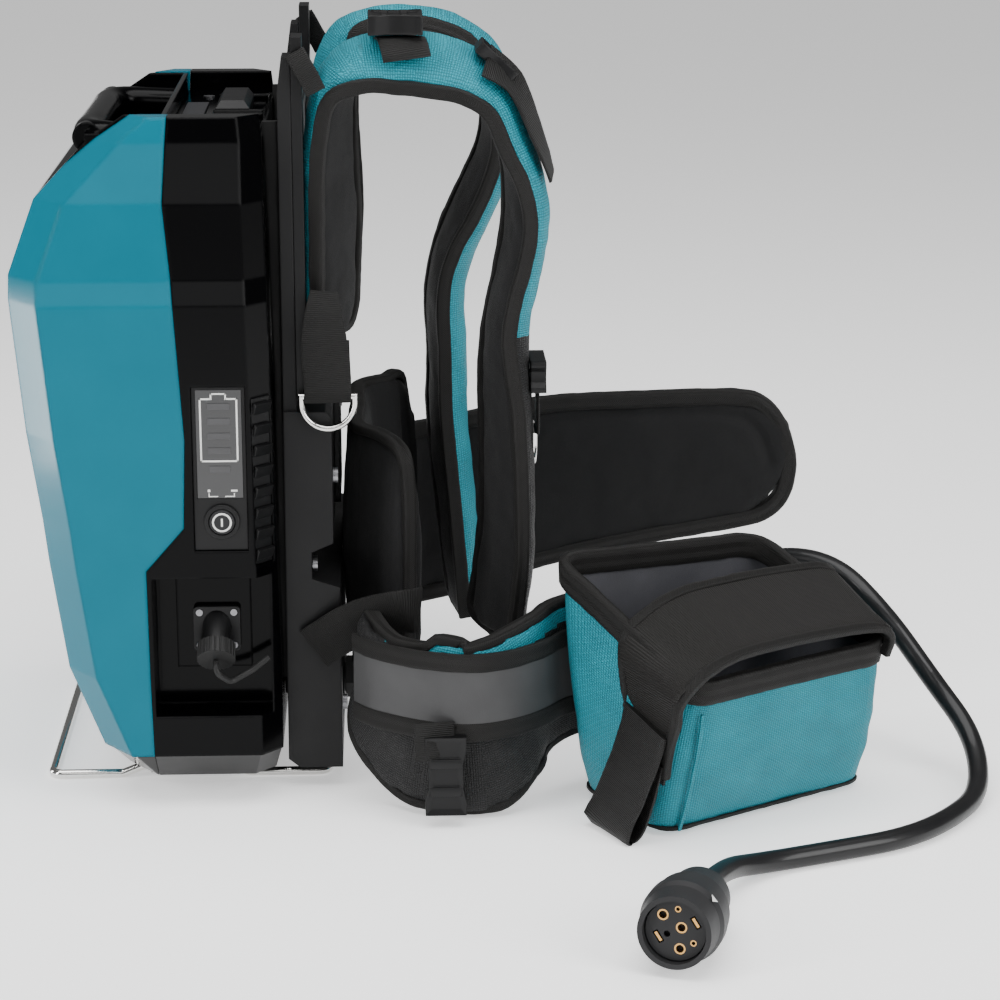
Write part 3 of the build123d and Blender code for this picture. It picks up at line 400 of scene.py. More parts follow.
BRASS = Metal("contact brass", "brass", (0.62, 0.36, 0.13), 0.28)
NICKEL = Metal("nickel strip", "nickel", (0.62, 0.60, 0.57), 0.3)
LABEL = Moulded("satin label", "label", (0.022, 0.022, 0.024), 0.36, grains=3000.0, grain_depth=0.00002)
LENS = Moulded("gauge lens", "lens", (0.012, 0.012, 0.013), 0.1,
               grains=600.0, grain_depth=0.000005, coat=1.0, patch=0.04)
BAR = Moulded("gauge bar", "print", (0.045, 0.045, 0.047), 0.3,
              grains=900.0, grain_depth=0.00001, coat=0.4, patch=0.1)
PRINT = Moulded("pale grey print", "print", (0.66, 0.66, 0.64), 0.45, grains=2500.0, grain_depth=0.00001,
                patch=0.06)
BUTTON = Moulded("button rubber", "button", (0.016, 0.016, 0.017), 0.5, grains=2800.0, grain_depth=0.00004)
SOFT_BLACK = Moulded("soft black rubber", "soft_black", (0.014, 0.014, 0.014), 0.48, grains=1800.0,
                     grain_depth=0.00006)
CELL = Moulded("cell sleeve", "cell", (0.05, 0.16, 0.30), 0.3, grains=900.0, grain_depth=0.00002)
BOARD = Moulded("board lacquer", "board", (0.01, 0.12, 0.05), 0.35, grains=1200.0, grain_depth=0.00003)
CABLE = Moulded("cable sheath", "cable_rubber", (0.009, 0.009, 0.0095), 0.34,
                grains=1300.0, grain_depth=0.00008, coat=0.15)
PLUG = Moulded("plug plastic", "plug_plastic", (0.020, 0.020, 0.021), 0.5, grains=2200.0,
               grain_depth=0.00007)
TEAL_CLOTH = Woven("teal ballistic nylon", "strap_fabric", (0.003, 0.195, 0.250), 0.6,
                   yarns=620.0, depth=0.00045, sheen=0.03, contrast=0.5)
BLACK_CLOTH = Woven("black ballistic nylon", "pad_fabric", (0.005, 0.005, 0.0053), 0.58,
                    yarns=620.0, depth=0.0005, sheen=0.03, contrast=0.6)
LINING = Woven("black brushed lining", "pad_fabric", (0.0025, 0.0025, 0.0028), 0.85,
               yarns=1500.0, depth=0.00012, sheen=0.04, contrast=0.25)
GREY_LINING = Woven("grey coated lining", "pad_fabric", (0.075, 0.075, 0.085), 0.5,
                    yarns=1700.0, depth=0.00012, sheen=0.02, contrast=0.2)
WEBBING = Ribbed("black webbing", "webbing", (0.0034, 0.0032, 0.0029), 0.6, ribs=820.0, depth=0.0003)
BINDING = Ribbed("black edge binding", "webbing", (0.0052, 0.0048, 0.0044), 0.64,
                 ribs=760.0, slant=0.9, bands=300.0, depth=0.0003)
FLAP_CLOTH = Ribbed("black ribbed flap", "webbing", (0.0052, 0.0046, 0.0040), 0.62, ribs=640.0,
                    bands=100.0)
REFLECTIVE = Moulded("grey reflective film", "reflective", (0.048, 0.048, 0.049), 0.45, grains=1500.0,
                     grain_depth=0.00012)


# ================================================================ making meshes


def even_rows(rows: Sequence[Sequence[float]], step: float, closed: bool = False) -> list[list[float]]:
    """Rows of numbers a step apart on a smooth line through the given rows.

    Args:
        rows: Places on the line; the first three numbers are a point in metres.
        step: The distance between the new rows.
        closed: Whether the line comes back to its start.

    Returns:
        The new rows, with the first and last kept on an open line.
    """
    count = len(rows)
    dense: list[list[float]] = []
    for piece in range(count if closed else count - 1):
        if closed:
            four = [rows[(piece + shift) % count] for shift in (-1, 0, 1, 2)]
        else:
            four = [rows[min(max(piece + shift, 0), count - 1)] for shift in (-1, 0, 1, 2)]
        for part in range(LINE_PARTS):
            t = part / LINE_PARTS
            weights = (
                (-t + 2 * t * t - t**3) / 2, (2 - 5 * t * t + 3 * t**3) / 2,
                (t + 4 * t * t - 3 * t**3) / 2, (-t * t + t**3) / 2,
            )
            dense.append([sum(w * row[i] for w, row in zip(weights, four)) for i in range(len(rows[0]))])
    dense.append(list(rows[0] if closed else rows[-1]))
    runs = [0.0]
    for before, after in zip(dense, dense[1:]):
        runs.append(runs[-1] + (Vector(after[:3]) - Vector(before[:3])).length)
    total = max(2, round(runs[-1] / step))
    found, spot = [], 0
    for place in range(total if closed else total + 1):
        goal = runs[-1] * place / total
        while spot < len(runs) - 2 and runs[spot + 1] < goal:
            spot += 1
        share = (goal - runs[spot]) / max(runs[spot + 1] - runs[spot], TINY)
        found.append([a + (b - a) * share for a, b in zip(dense[spot], dense[spot + 1])])
    return found


@dataclass
class Station:
    """A place on a line, with the directions along, across and out of it, and the run up to it."""

    centre: Vector
    along: Vector
    across: Vector
    out: Vector
    run: float
    extra: list[float]


def stations(rows: Sequence[Sequence[float]], step: float, flip: bool = False,
             closed: bool = False) -> list[Station]:
    """Stations on a smooth line.

    Args:
        rows: A point, an across direction and any further sizes for each place on the line.
        step: The distance between stations.
        flip: Whether the out direction points the other way.
        closed: Whether the line comes back to its start.

    Returns:
        The stations in order.
    """
    fine = even_rows(rows, step, closed)
    found: list[Station] = []
    run = 0.0
    for place, row in enumerate(fine):
        before = fine[place - 1 if closed else max(place - 1, 0)]
        after = fine[(place + 1) % len(fine) if closed else min(place + 1, len(fine) - 1)]
        along = (Vector(after[:3]) - Vector(before[:3])).normalized()
        across = Vector(row[3:6])
        across = (across - along * across.dot(along)).normalized()
        out = along.cross(across).normalized() * (-1 if flip else 1)
        if place:
            run += (Vector(row[:3]) - Vector(fine[place - 1][:3])).length
        found.append(Station(Vector(row[:3]), along, across, out, run, row[6:]))
    return found


def loft(name: str, rings: Sequence[Sequence[Vector]], closed: bool = False) -> bpy.types.Object:
    """A skin over a row of rings, with a UV map in metres.

    Args:
        name: The piece's name.
        rings: Closed rings with the same number of points.
        closed: Whether the last ring joins the first; otherwise both ends are covered.

    Returns:
        The new mesh object, with its faces pointing outwards.
    """
    mesh = bpy.data.meshes.new(name)
    build = bmesh.new()
    grid = [[build.verts.new(point) for point in ring] for ring in rings]
    count = len(rings[0])
    uv = build.loops.layers.uv.new("UVMap")
    middles = [sum(ring, Vector()) / count for ring in rings]
    runs = [0.0]
    for place in range(len(rings)):
        runs.append(runs[-1] + (middles[(place + 1) % len(rings)] - middles[place]).length)
    around = [0.0]
    for spot in range(count):
        around.append(around[-1] + (rings[0][(spot + 1) % count] - rings[0][spot]).length)
    for place in range(len(rings) if closed else len(rings) - 1):
        upper = grid[(place + 1) % len(rings)]
        for spot in range(count):
            after = (spot + 1) % count
            face = build.faces.new((grid[place][spot], grid[place][after], upper[after], upper[spot]))
            marks = ((spot, place), (spot + 1, place), (spot + 1, place + 1), (spot, place + 1))
            for corner, (u, v) in zip(face.loops, marks):
                corner[uv].uv = (around[u], runs[v])
    if not closed:
        for ring, run in ((grid[0], 0.0), (grid[-1], runs[-2])):
            face = build.faces.new(ring)
            for corner, u in zip(face.loops, around):
                corner[uv].uv = (u, run)
    bmesh.ops.recalc_face_normals(build, faces=build.faces)
    build.to_mesh(mesh)
    build.free()
    piece = bpy.data.objects.new(name, mesh)
    bpy.context.scene.collection.objects.link(piece)
    return piece


def rounded_profile(width: float, thick: float, power: float = 4.0,
                    count: int = 20) -> list[tuple[float, float]]:
    """Points (across, out) round a flat band whose edges are rounded; a higher power is squarer."""
    points = []
    for spot in range(count):
        turn = math.tau * (spot + 0.5) / count
        c, s = math.cos(turn), math.sin(turn)
        points.append((
            math.copysign(abs(c) ** (2 / power), c) * width / 2,
            math.copysign(abs(s) ** (2 / power), s) * thick / 2,
        ))
    return points


def band(name: str, line: Sequence[Station], width: float, thick: float, closed: bool = False,
         power: float = 5.0) -> bpy.types.Object:
    """A flat band along a line; a station's own first further size scales its width."""
    profile = rounded_profile(width, thick, power)
    rings = [
        [spot.centre + spot.across * a * (spot.extra[0] if spot.extra else 1.0) + spot.out * b for a,
         b in profile]
        for spot in line
    ]
    return loft(name, rings, closed)


def only(piece: bpy.types.Object) -> None:
    """Selects one object and makes it active."""
    bpy.ops.object.select_all(action="DESELECT")
    piece.select_set(True)
    bpy.context.view_layer.objects.active = piece


def settle(piece: bpy.types.Object, kind: str, **settings: Any) -> None:
    """Adds a modifier and applies it."""
    only(piece)
    modifier = piece.modifiers.new(kind.lower(), kind)
    for name, value in settings.items():
        setattr(modifier, name, value)
    bpy.ops.object.modifier_apply(modifier=modifier.name)


def smooth(piece: bpy.types.Object, degrees: float = 40.0) -> None:
    """Shades a piece smooth except at sharp edges."""
    only(piece)
    bpy.ops.object.shade_smooth_by_angle(angle=math.radians(degrees))


def finish_piece(piece: bpy.types.Object, finish: Finish, body: str,
                 degrees: float = 40.0) -> bpy.types.Object:
    """Gives a piece its material, shading and body, and reports it."""
    if not piece.data.materials:
        piece.data.materials.append(finish.material())
    smooth(piece, degrees)
    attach(piece, body)
    LOG.info("%s rides on %s", piece.name, body)
    return piece


CLOTH_FRAMES = 20
CLOTH_PRESSURE = 4.0
CLOTH_MASS = 0.25


def swell(piece: bpy.types.Object, held: Callable[[Vector], float], cap: float = 0.005,
          voxel: float = 0.005) -> None:
    """Fills a padded piece by cloth pressure, and keeps each point near where it began.

    Args:
        piece: A closed mesh, slightly smaller than the finished pad.
        held: How firmly a point is held, from 0 to 1.
        cap: The furthest that a point may move.
        voxel: The size of the remeshed faces.
    """
    settle(piece, "REMESH", mode="VOXEL", voxel_size=voxel)
    settle(piece, "SMOOTH", factor=0.5, iterations=2)
    rest = [vertex.co.copy() for vertex in piece.data.vertices]
    pins = piece.vertex_groups.new(name="held")
    for number, place in enumerate(rest):
        pins.add([number], held(place), "REPLACE")
    cloth = piece.modifiers.new("filling", "CLOTH")
    cloth.settings.quality = 4
    cloth.settings.mass = CLOTH_MASS
    cloth.settings.vertex_group_mass = "held"
    cloth.settings.use_pressure = True
    cloth.settings.uniform_pressure_force = CLOTH_PRESSURE
    cloth.settings.effector_weights.gravity = 0.0
    scene = bpy.context.scene
    for frame in range(1, CLOTH_FRAMES + 1):
        scene.frame_set(frame)
    shaped = piece.evaluated_get(bpy.context.evaluated_depsgraph_get()).data
    moved = [vertex.co.copy() for vertex in shaped.vertices]
    piece.modifiers.remove(cloth)
    scene.frame_set(1)
    for vertex, start, end in zip(piece.data.vertices, rest, moved):
        shift = end - start
        vertex.co = start + shift * min(1.0, cap / max(shift.length, TINY))
    piece.vertex_groups.clear()
    settle(piece, "SUBSURF", levels=1, render_levels=1)


def crumple(piece: bpy.types.Object, depth: float, size: float, seed: float = 0.0,
            least: float = -1.0) -> None:
    """Moves each point in or out by soft noise, as cloth creases."""
    mesh = piece.data
    normals = [vertex.normal.copy() for vertex in mesh.vertices]
    for vertex, normal in zip(mesh.vertices, normals):
        place = vertex.co / size + Vector((seed, -seed, seed))
        vertex.co += normal * depth * max(fractal(place, 1.0, 2.0, 3), least)
    mesh.update()


def channel(piece: bpy.types.Object, line: Sequence[Vector], depth: float, width: float) -> None:
    """Presses a sewn channel into a pad along a line."""
    tree = KDTree(len(line))
    for number, place in enumerate(line):
        tree.insert(place, number)
    tree.balance()
    mesh = piece.data
    normals = [vertex.normal.copy() for vertex in mesh.vertices]
    for vertex, normal in zip(mesh.vertices, normals):
        away = tree.find(vertex.co)[2]
        if away < width * 3:
            vertex.co -= normal * depth * math.exp(-((away / width) ** 2))
    mesh.update()


class LineMap:
    """Finds where a place lies beside a line."""

    def __init__(self, line: Sequence[Station]) -> None:
        """Sorts the line's stations for quick search."""
        self.line = line
        self.tree = KDTree(len(line))
        for number, spot in enumerate(line):
            self.tree.insert(spot.centre, number)
        self.tree.balance()

    def nearest(self, place: Vector) -> Station:
        """The station nearest to a place."""
        return self.line[self.tree.find(place)[1]]

    def local(self, place: Vector) -> tuple[float, float, float]:
        """A place's distance across, out of and along the line."""
        spot = self.nearest(place)
        shift = place - spot.centre
        return shift.dot(spot.across), shift.dot(spot.out), spot.run + shift.dot(spot.along)


def wrap_pattern(piece: bpy.types.Object, line: Sequence[Station], finishes: Sequence[Finish],
                 choose: Callable[[float, float, float], int]) -> None:
    """Lays a UV map in metres along a line over a piece, and gives each face one of the finishes.

    Args:
        piece: The mesh to dress.
        line: The stations that the piece was made along.
        finishes: The finishes, in the order of the slots.
        choose: Gives a slot's number for a face's place across, out and along.
    """
    near = LineMap(line)
    mesh = piece.data
    mesh.materials.clear()
    for finish in finishes:
        mesh.materials.append(finish.material())
    layer = mesh.uv_layers.get("UVMap") or mesh.uv_layers.new(name="UVMap")
    places = [near.local(vertex.co) for vertex in mesh.vertices]
    for face in mesh.polygons:
        face.material_index = choose(*near.local(face.center))
        sideways = abs(face.normal.dot(near.nearest(face.center).out)) < 0.6
        for corner in face.loop_indices:
            across, out, run = places[mesh.loops[corner].vertex_index]
            layer.data[corner].uv = ((out if sideways else across), run)


def tape(name: str, rows: Sequence[Sequence[float]], width: float, thick: float, finish: Finish, body: str,
         closed: bool = False, replaced: Sequence[str] = ()) -> bpy.types.Object:
    """A woven tape or binding.

    Args:
        name: The piece's name.
        rows: In metres: a point, the direction across the tape and a share of its width.
        width: The tape's width.
        thick: Its thickness.
        finish: Its finish.
        body: The body that it rides on.
        closed: Whether it comes back to its start.
        replaced: The CAD nodes that it stands for.

    Returns:
        The new piece.
    """
    line = stations(rows, 0.004, closed=closed)
    piece = band(name, line, width, thick, closed)
    crumple(piece, 0.0004, 0.012, width)
    finish_piece(piece, finish, body, 50)
    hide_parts(*replaced)
    return piece


def in_mm(rows: Sequence[Sequence[float]]) -> list[list[float]]:
    """Rows whose first three numbers are millimetres, with those in metres."""
    return [[*(part * MM for part in row[:3]), *row[3:]] for row in rows]


# ================================================================ padded panels


def upright(rows: Sequence[tuple[float, float, float, float]]) -> list[tuple[float, float, float, float,
    float, float]]:
    """Knots straight above each other, from rows of X, Y, low Z and high Z."""
    return [(x, y, low, x, y, high) for x, y, low, high in rows]


@dataclass
class PaddedPanel:
    """A long pad between two edges, crowned on both faces and bound with tape along its edges.

    Each knot holds a point on the first edge and one on the second, in millimetres.
    """

    name: str
    body: str
    node: str
    knots: Sequence[tuple[float, float, float, float, float, float]]
    crown: float
    back: float
    edge: float = 0.004
    cap: float = 0.003
    tape_width: float = 0.0095
    tape_deep: float = 0.0065
    tape_back: float = 0.0015
    fill: float = 0.6
    line: list[Station] = field(default_factory=list)

    def lay_line(self) -> None:
        """Works out the stations between the two edges."""
        rows = []
        for knot in self.knots:
            first, second = mm(*knot[:3]), mm(*knot[3:])
            rows.append([*((first + second) / 2), *(second - first), (second - first).length / 2])
        self.line = stations(rows, 0.006)

    def ring(self, spot: Station) -> list[Vector]:
        """The pad's outline across the line at one station."""
        half, count = spot.extra[0] - 0.002, 14
        ring = []
        for face in (1, -1):
            rise = (self.crown if face > 0 else self.back) - self.edge - self.cap * 0.6
            for step in range(count + 1):
                share = -face * (1 - 2 * step / count)
                height = self.edge + rise * (1 - abs(share) ** 2.4)
                ring.append(spot.centre + spot.across * half * share * -1 + spot.out * height * face)
        return ring

    def build(self, finishes: Sequence[Finish],
              choose: Callable[[float, float, float], int]) -> bpy.types.Object:
        """Makes, fills and dresses the pad.

        Args:
            finishes: Its finishes.
            choose: Gives a finish's number for a face's place across, out and along.

        Returns:
            The pad.
        """
        self.lay_line()
        pad = loft(self.name, [self.ring(spot) for spot in self.line])
        near = LineMap(self.line)

        def held(place: Vector) -> float:
            """Edges and ends are held, and the middle is free."""
            across = abs(near.local(place)[0]) / near.nearest(place).extra[0]
            return 1.0 if across > 0.78 else max(0.0, (across - 0.6) / 0.18) * 0.9

        swell(pad, held, self.cap)
        crumple(pad, 0.0012, 0.03, self.crown * 100)
        wrap_pattern(pad, self.line, finishes, choose)
        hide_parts(self.node)
        return pad

    def dress(self, pad: bpy.types.Object) -> None:
        finish_piece(pad, TEAL_CLOTH, self.body, 60)

    def bind(self, finish: Finish = BINDING) -> bpy.types.Object:
        """Sews a tape round both edges and both ends."""
        inset = self.tape_deep / 2
        rows: list[list[float]] = []
        for side, spots in ((-1, self.line), (1, list(reversed(self.line)))):
            chosen = list(spots[1:-1:4])
            for s in chosen:
                edge = s.across * side * (s.extra[0] - inset)
                rows.append([*(s.centre + edge - s.out * self.tape_back), *s.out])
            last = spots[-1]
            ahead = last.along * (-0.001 if last is self.line[-1] else 0.001)
            for share in (0.72, 0.0):
                corner = last.centre + last.across * side * last.extra[0] * share + ahead
                rows.append([*corner, *last.out])
        name = f"{self.name}_binding"
        return tape(name, rows, self.tape_width, self.tape_deep, finish, self.body, closed=True)


@dataclass
class ShoulderHarness:
    """Two shoulder straps with their webbing, all on the sliding harness."""

    body: str = "harness"
    rise: Sequence[tuple[float, float, float, float]] = (
        (69, 300, 92, 300), (70, 361, 96, 361), (71, 408, 94, 405), (76, 441, 94, 440),
        (88, 455, 100, 474), (108, 459, 118, 483), (135, 458, 140, 483), (160, 453, 162, 478),
        (180, 444, 178, 463),
    )
    right_fall: Sequence[tuple[float, float, float, float]] = (
        (192, 420, 189, 431), (205, 392, 195, 399), (209, 370, 195, 366), (205, 345, 191, 340),
        (197, 315, 185, 310), (196, 290, 181, 280), (201, 255, 180, 247), (204, 194, 181, 185),
        (204, 149, 177, 140), (198, 105, 171, 89),
    )
    left_fall: Sequence[tuple[float, float, float, float]] = (
        (188, 420, 191, 428), (184, 390, 195, 392), (169, 359, 182, 355), (157, 330, 167, 328),
        (151, 307, 159, 305), (148, 283, 157, 285), (150, 244, 158, 250), (149, 200, 159, 208),
        (157, 118, 166, 127), (165, 50, 170, 70),
    )
    outside: float = 113.0
    inside: float = 57.0
    black_run: float = 0.205

    def right_strap(self) -> PaddedPanel:
        """The wearer's right strap: teal over the shoulder, black below the adjuster."""
        knots = [(a, -self.outside, b, c, -self.inside, d) for a, b, c,
                 d in (*self.rise, *self.right_fall)]
        strap = PaddedPanel("strap_right", self.body, "shoulder_strap_right", knots, crown=0.019,
                            back=0.009)

        def choose(across: float, out: float, run: float) -> int:
            """Teal outside as far as the adjuster, black cloth outside below it, lining inside."""
            if out < -0.002:
                return 2
            return 0 if run < strap.line[-1].run - self.black_run else 1

        pad = strap.build((TEAL_CLOTH, BLACK_CLOTH, LINING), choose)
        strap.dress(pad)
        strap.bind()
        return strap

    def left_strap(self) -> PaddedPanel:
        """The wearer's left strap, teal down its whole length."""
        rise = [(c, self.inside, d, a, self.outside, b) for a, b, c, d in self.rise]
        fall = [(c, self.inside, d, a, self.outside, b) for a, b, c, d in self.left_fall]
        strap = PaddedPanel("strap_left", self.body, "shoulder_strap_left", [*rise, *fall], crown=0.020,
                            back=0.009)
        pad = strap.build((TEAL_CLOTH, LINING), lambda across, out, run: 0 if out > -0.002 else 1)
        strap.dress(pad)
        strap.bind()
        return strap

    def webbing(self, strap: PaddedPanel) -> None:
        """Webbing on the right strap, at the rings, at the chest buckle and from the carriage's tops."""
        top = [spot for spot in strap.line if spot.centre.x > 0.168 and spot.centre.z > 0.385]
        rows = [
            [*(spot.centre - spot.across * 0.010 + spot.out * (strap.crown + 0.0012)),
             *(spot.across + spot.out * 0.3)]
            for spot in top[::2]
        ]
        tape("front_strap_tape", rows, 0.030, 0.0022, WEBBING, self.body, replaced=["strap_webbing_right"])
        lane = [(130, -113, 476), (129, -112, 482), (127, -104, 487.5), (125, -92, 487), (124, -80, 486),
                (124, -70, 485)]
        tape("chest_tape", in_mm([(*row, 1, 0, 0) for row in lane]), 0.030, 0.0024, WEBBING, self.body,
             replaced=["chest_webbing"])
        fold = [(77, -119.5, 333, 0.6), (76, -121.4, 318, 0.8), (76.5, -121.6, 296, 1),
                (78, -121.5, 273, 1),
                (78, -121.2, 264.5, 1), (78, -118.5, 261.4, 1), (78, -115.9, 264.5, 1),
                (78, -116.2, 276, 1), (77, -116.6, 300, 1)]
        tape("ring_tape_right", in_mm([(*row[:3], 1, 0, 0, row[3]) for row in fold]), 0.030, 0.0018,
             WEBBING, self.body,
             replaced=["tail_webbing"])
        fold = [(212.4, 262), (212.8, 243), (212.3, 233), (209.8, 230.2), (207.3, 233), (206.8, 243),
                (207.4, 262)]
        tape("ring_tape_front", in_mm([(x, -85, z, 0, 1, 0) for x, z in fold]), 0.030, 0.0018, WEBBING,
             self.body,
             replaced=["front_webbing"])
        for label, side in (("right", -1), ("left", 1)):
            lane = [(61, side * 114.5, 481), (65, side * 117.2, 474), (70, side * 118.2, 465),
                    (74, side * 118.4, 457)]
            tape(f"lift_tape_{label}", in_mm([(*row, 0.85, 0, 0.5) for row in lane]), 0.013, 0.0022,
                 WEBBING, self.body,
                 replaced=["lift_webbing"])

    def build(self) -> None:
        """Makes the whole harness."""
        strap = self.right_strap()
        self.left_strap()
        self.webbing(strap)


@dataclass
class HipBelt:
    """The lumbar pad, the right wing with its reflective strip and the left wing."""

    body: str = "pack"
    column: float = 97.3
    strip_out: float = 0.0093
    wing_route: Sequence[tuple[float, float, float, float]] = (
        (112.5, -109.7, 76, 130), (101, -132, 60, 128), (122, -155, 14, 125), (150, -171, 3, 121),
        (174, -173, 3, 120), (202, -155, 24, 127), (222.2, -128.1, 34, 131), (248, -112, 38, 133),
        (272, -97, 40, 134),
    )
    left_route: Sequence[tuple[float, float, float, float]] = (
        (106, 121.5, 60, 176), (118, 123, 50, 179), (136, 141, 50, 181), (164, 141, 56, 186),
        (231, 141, 77, 199), (300, 141, 92, 202), (370, 141, 104, 203), (392, 141, 110, 196),
        (405, 141, 122, 177), (410, 141, 140, 156),
    )

    def lumbar(self) -> None:
        """The pad behind the wearer's back, with upright sewn channels."""
        plan = (
            (129, -105, 72, 222), (123, -94, 64, 230), (112, -78, 62, 233), (97.3, -56, 62, 234),
            (97.3, 0, 62, 234), (97.3, 56, 62, 234), (112, 78, 62, 233), (123, 94, 64, 230),
            (129, 105, 72, 222),
        )
        pad = PaddedPanel("lumbar", self.body, "lumbar_pad", upright(plan), crown=0.013, back=0.013)
        cushion = pad.build((LINING,), lambda across, out, run: 0)
        for y in (-84, -36, 0, 36, 84):
            x = self.column + max(0.0, abs(y) - 58) * 0.74
            channel(cushion, [mm(x + 13, y, z) for z in range(80, 222, 3)], 0.004, 0.004)
        pad.dress(cushion)
        pad.bind()

    def right_wing(self) -> None:
        """The wing under the pouch, with its strip and bindings."""
        wing = PaddedPanel("wing_right", self.body, "belt_wing_right", upright(self.wing_route),
                           crown=0.008, back=0.008, edge=0.0035, cap=0.002)

        def choose(across: float, out: float, run: float) -> int:
            """Teal above the strip on the outside, black cloth below it, lining inside."""
            if out < 0.0:
                return 2
            return 0 if across > 0.034 else 1

        pad = wing.build((TEAL_CLOTH, BLACK_CLOTH, LINING), choose)
        wing.dress(pad)
        wing.bind()
        for label, height, width, thick, finish, nodes in (
            ("strip", 85.0, 0.040, 0.0014, REFLECTIVE, ["belt_strip_right"]),
            ("strip_top_binding", 107.5, 0.012, 0.0034, BINDING, []),
            ("strip_low_binding", 61.5, 0.012, 0.0034, BINDING, []),
        ):
            places = [(spot.centre + spot.out * self.strip_out).xy for spot in wing.line[5::3]]
            rows = [[*place, height * MM, *UP] for place in places]
            tape(f"wing_right_{label}", rows, width, thick, finish, self.body, replaced=nodes)

    def left_wing(self) -> None:
        """The long wing on the wearer's left, seen from its lined side, with one embossed channel."""
        wing = PaddedPanel("wing_left", self.body, "belt_wing_left", upright(self.left_route),
                           crown=0.009, back=0.0085, cap=0.002)
        pad = wing.build((LINING,), lambda across, out, run: 0)
        inner = [(214, 98), (214, 150), (222, 176), (244, 186), (300, 190), (364, 189), (386, 176),
                 (396, 152)]
        path = even_rows([[x * MM, 0.1318, z * MM] for x, z in inner], 0.003)
        channel(pad, [Vector(row) for row in path], 0.003, 0.004)
        wing.dress(pad)
        lower = [(x, y, low + 3) for x, y, low, high in self.left_route]
        upper = [(x, y, high - 3) for x, y, low, high in reversed(self.left_route)]
        rows = [(x, y, z, 0, 1, 0) for x, y, z in (*lower, *upper)]
        tape("wing_left_binding", in_mm(rows), 0.0125, 0.012, BINDING, self.body)

    def loop(self) -> None:
        """The belt webbing that comes out of the back frame and goes over the wing's top."""
        rows = [(66, -118.6, 97, 0.5, 0, -0.86), (80, -121, 107, 0.48, 0, -0.87),
                (94, -125, 116, 0.46, 0, -0.88),
                (108, -131, 123, 0.44, 0.05, -0.88), (120, -136, 127, 0.4, 0.1, -0.9),
                (129, -137, 128, 0.3, 0.1, -0.94),
                (135, -133, 127, 0.2, 0.1, -0.96)]
        tape("belt_loop_tape", in_mm(rows), 0.030, 0.0022, WEBBING, self.body, replaced=["belt_webbing"])
        rows = [(143, -187, 70, 1, 0.25, 0), (143, -188.4, 58, 1, 0.25, 0), (143, -189, 46, 1, 0.25, 0)]
        tape("buckle_tape", in_mm(rows), 0.026, 0.0024, WEBBING, self.body)

    def build(self) -> None:
        """Makes the whole belt."""
        self.lumbar()
        self.right_wing()
        self.left_wing()
        self.loop()


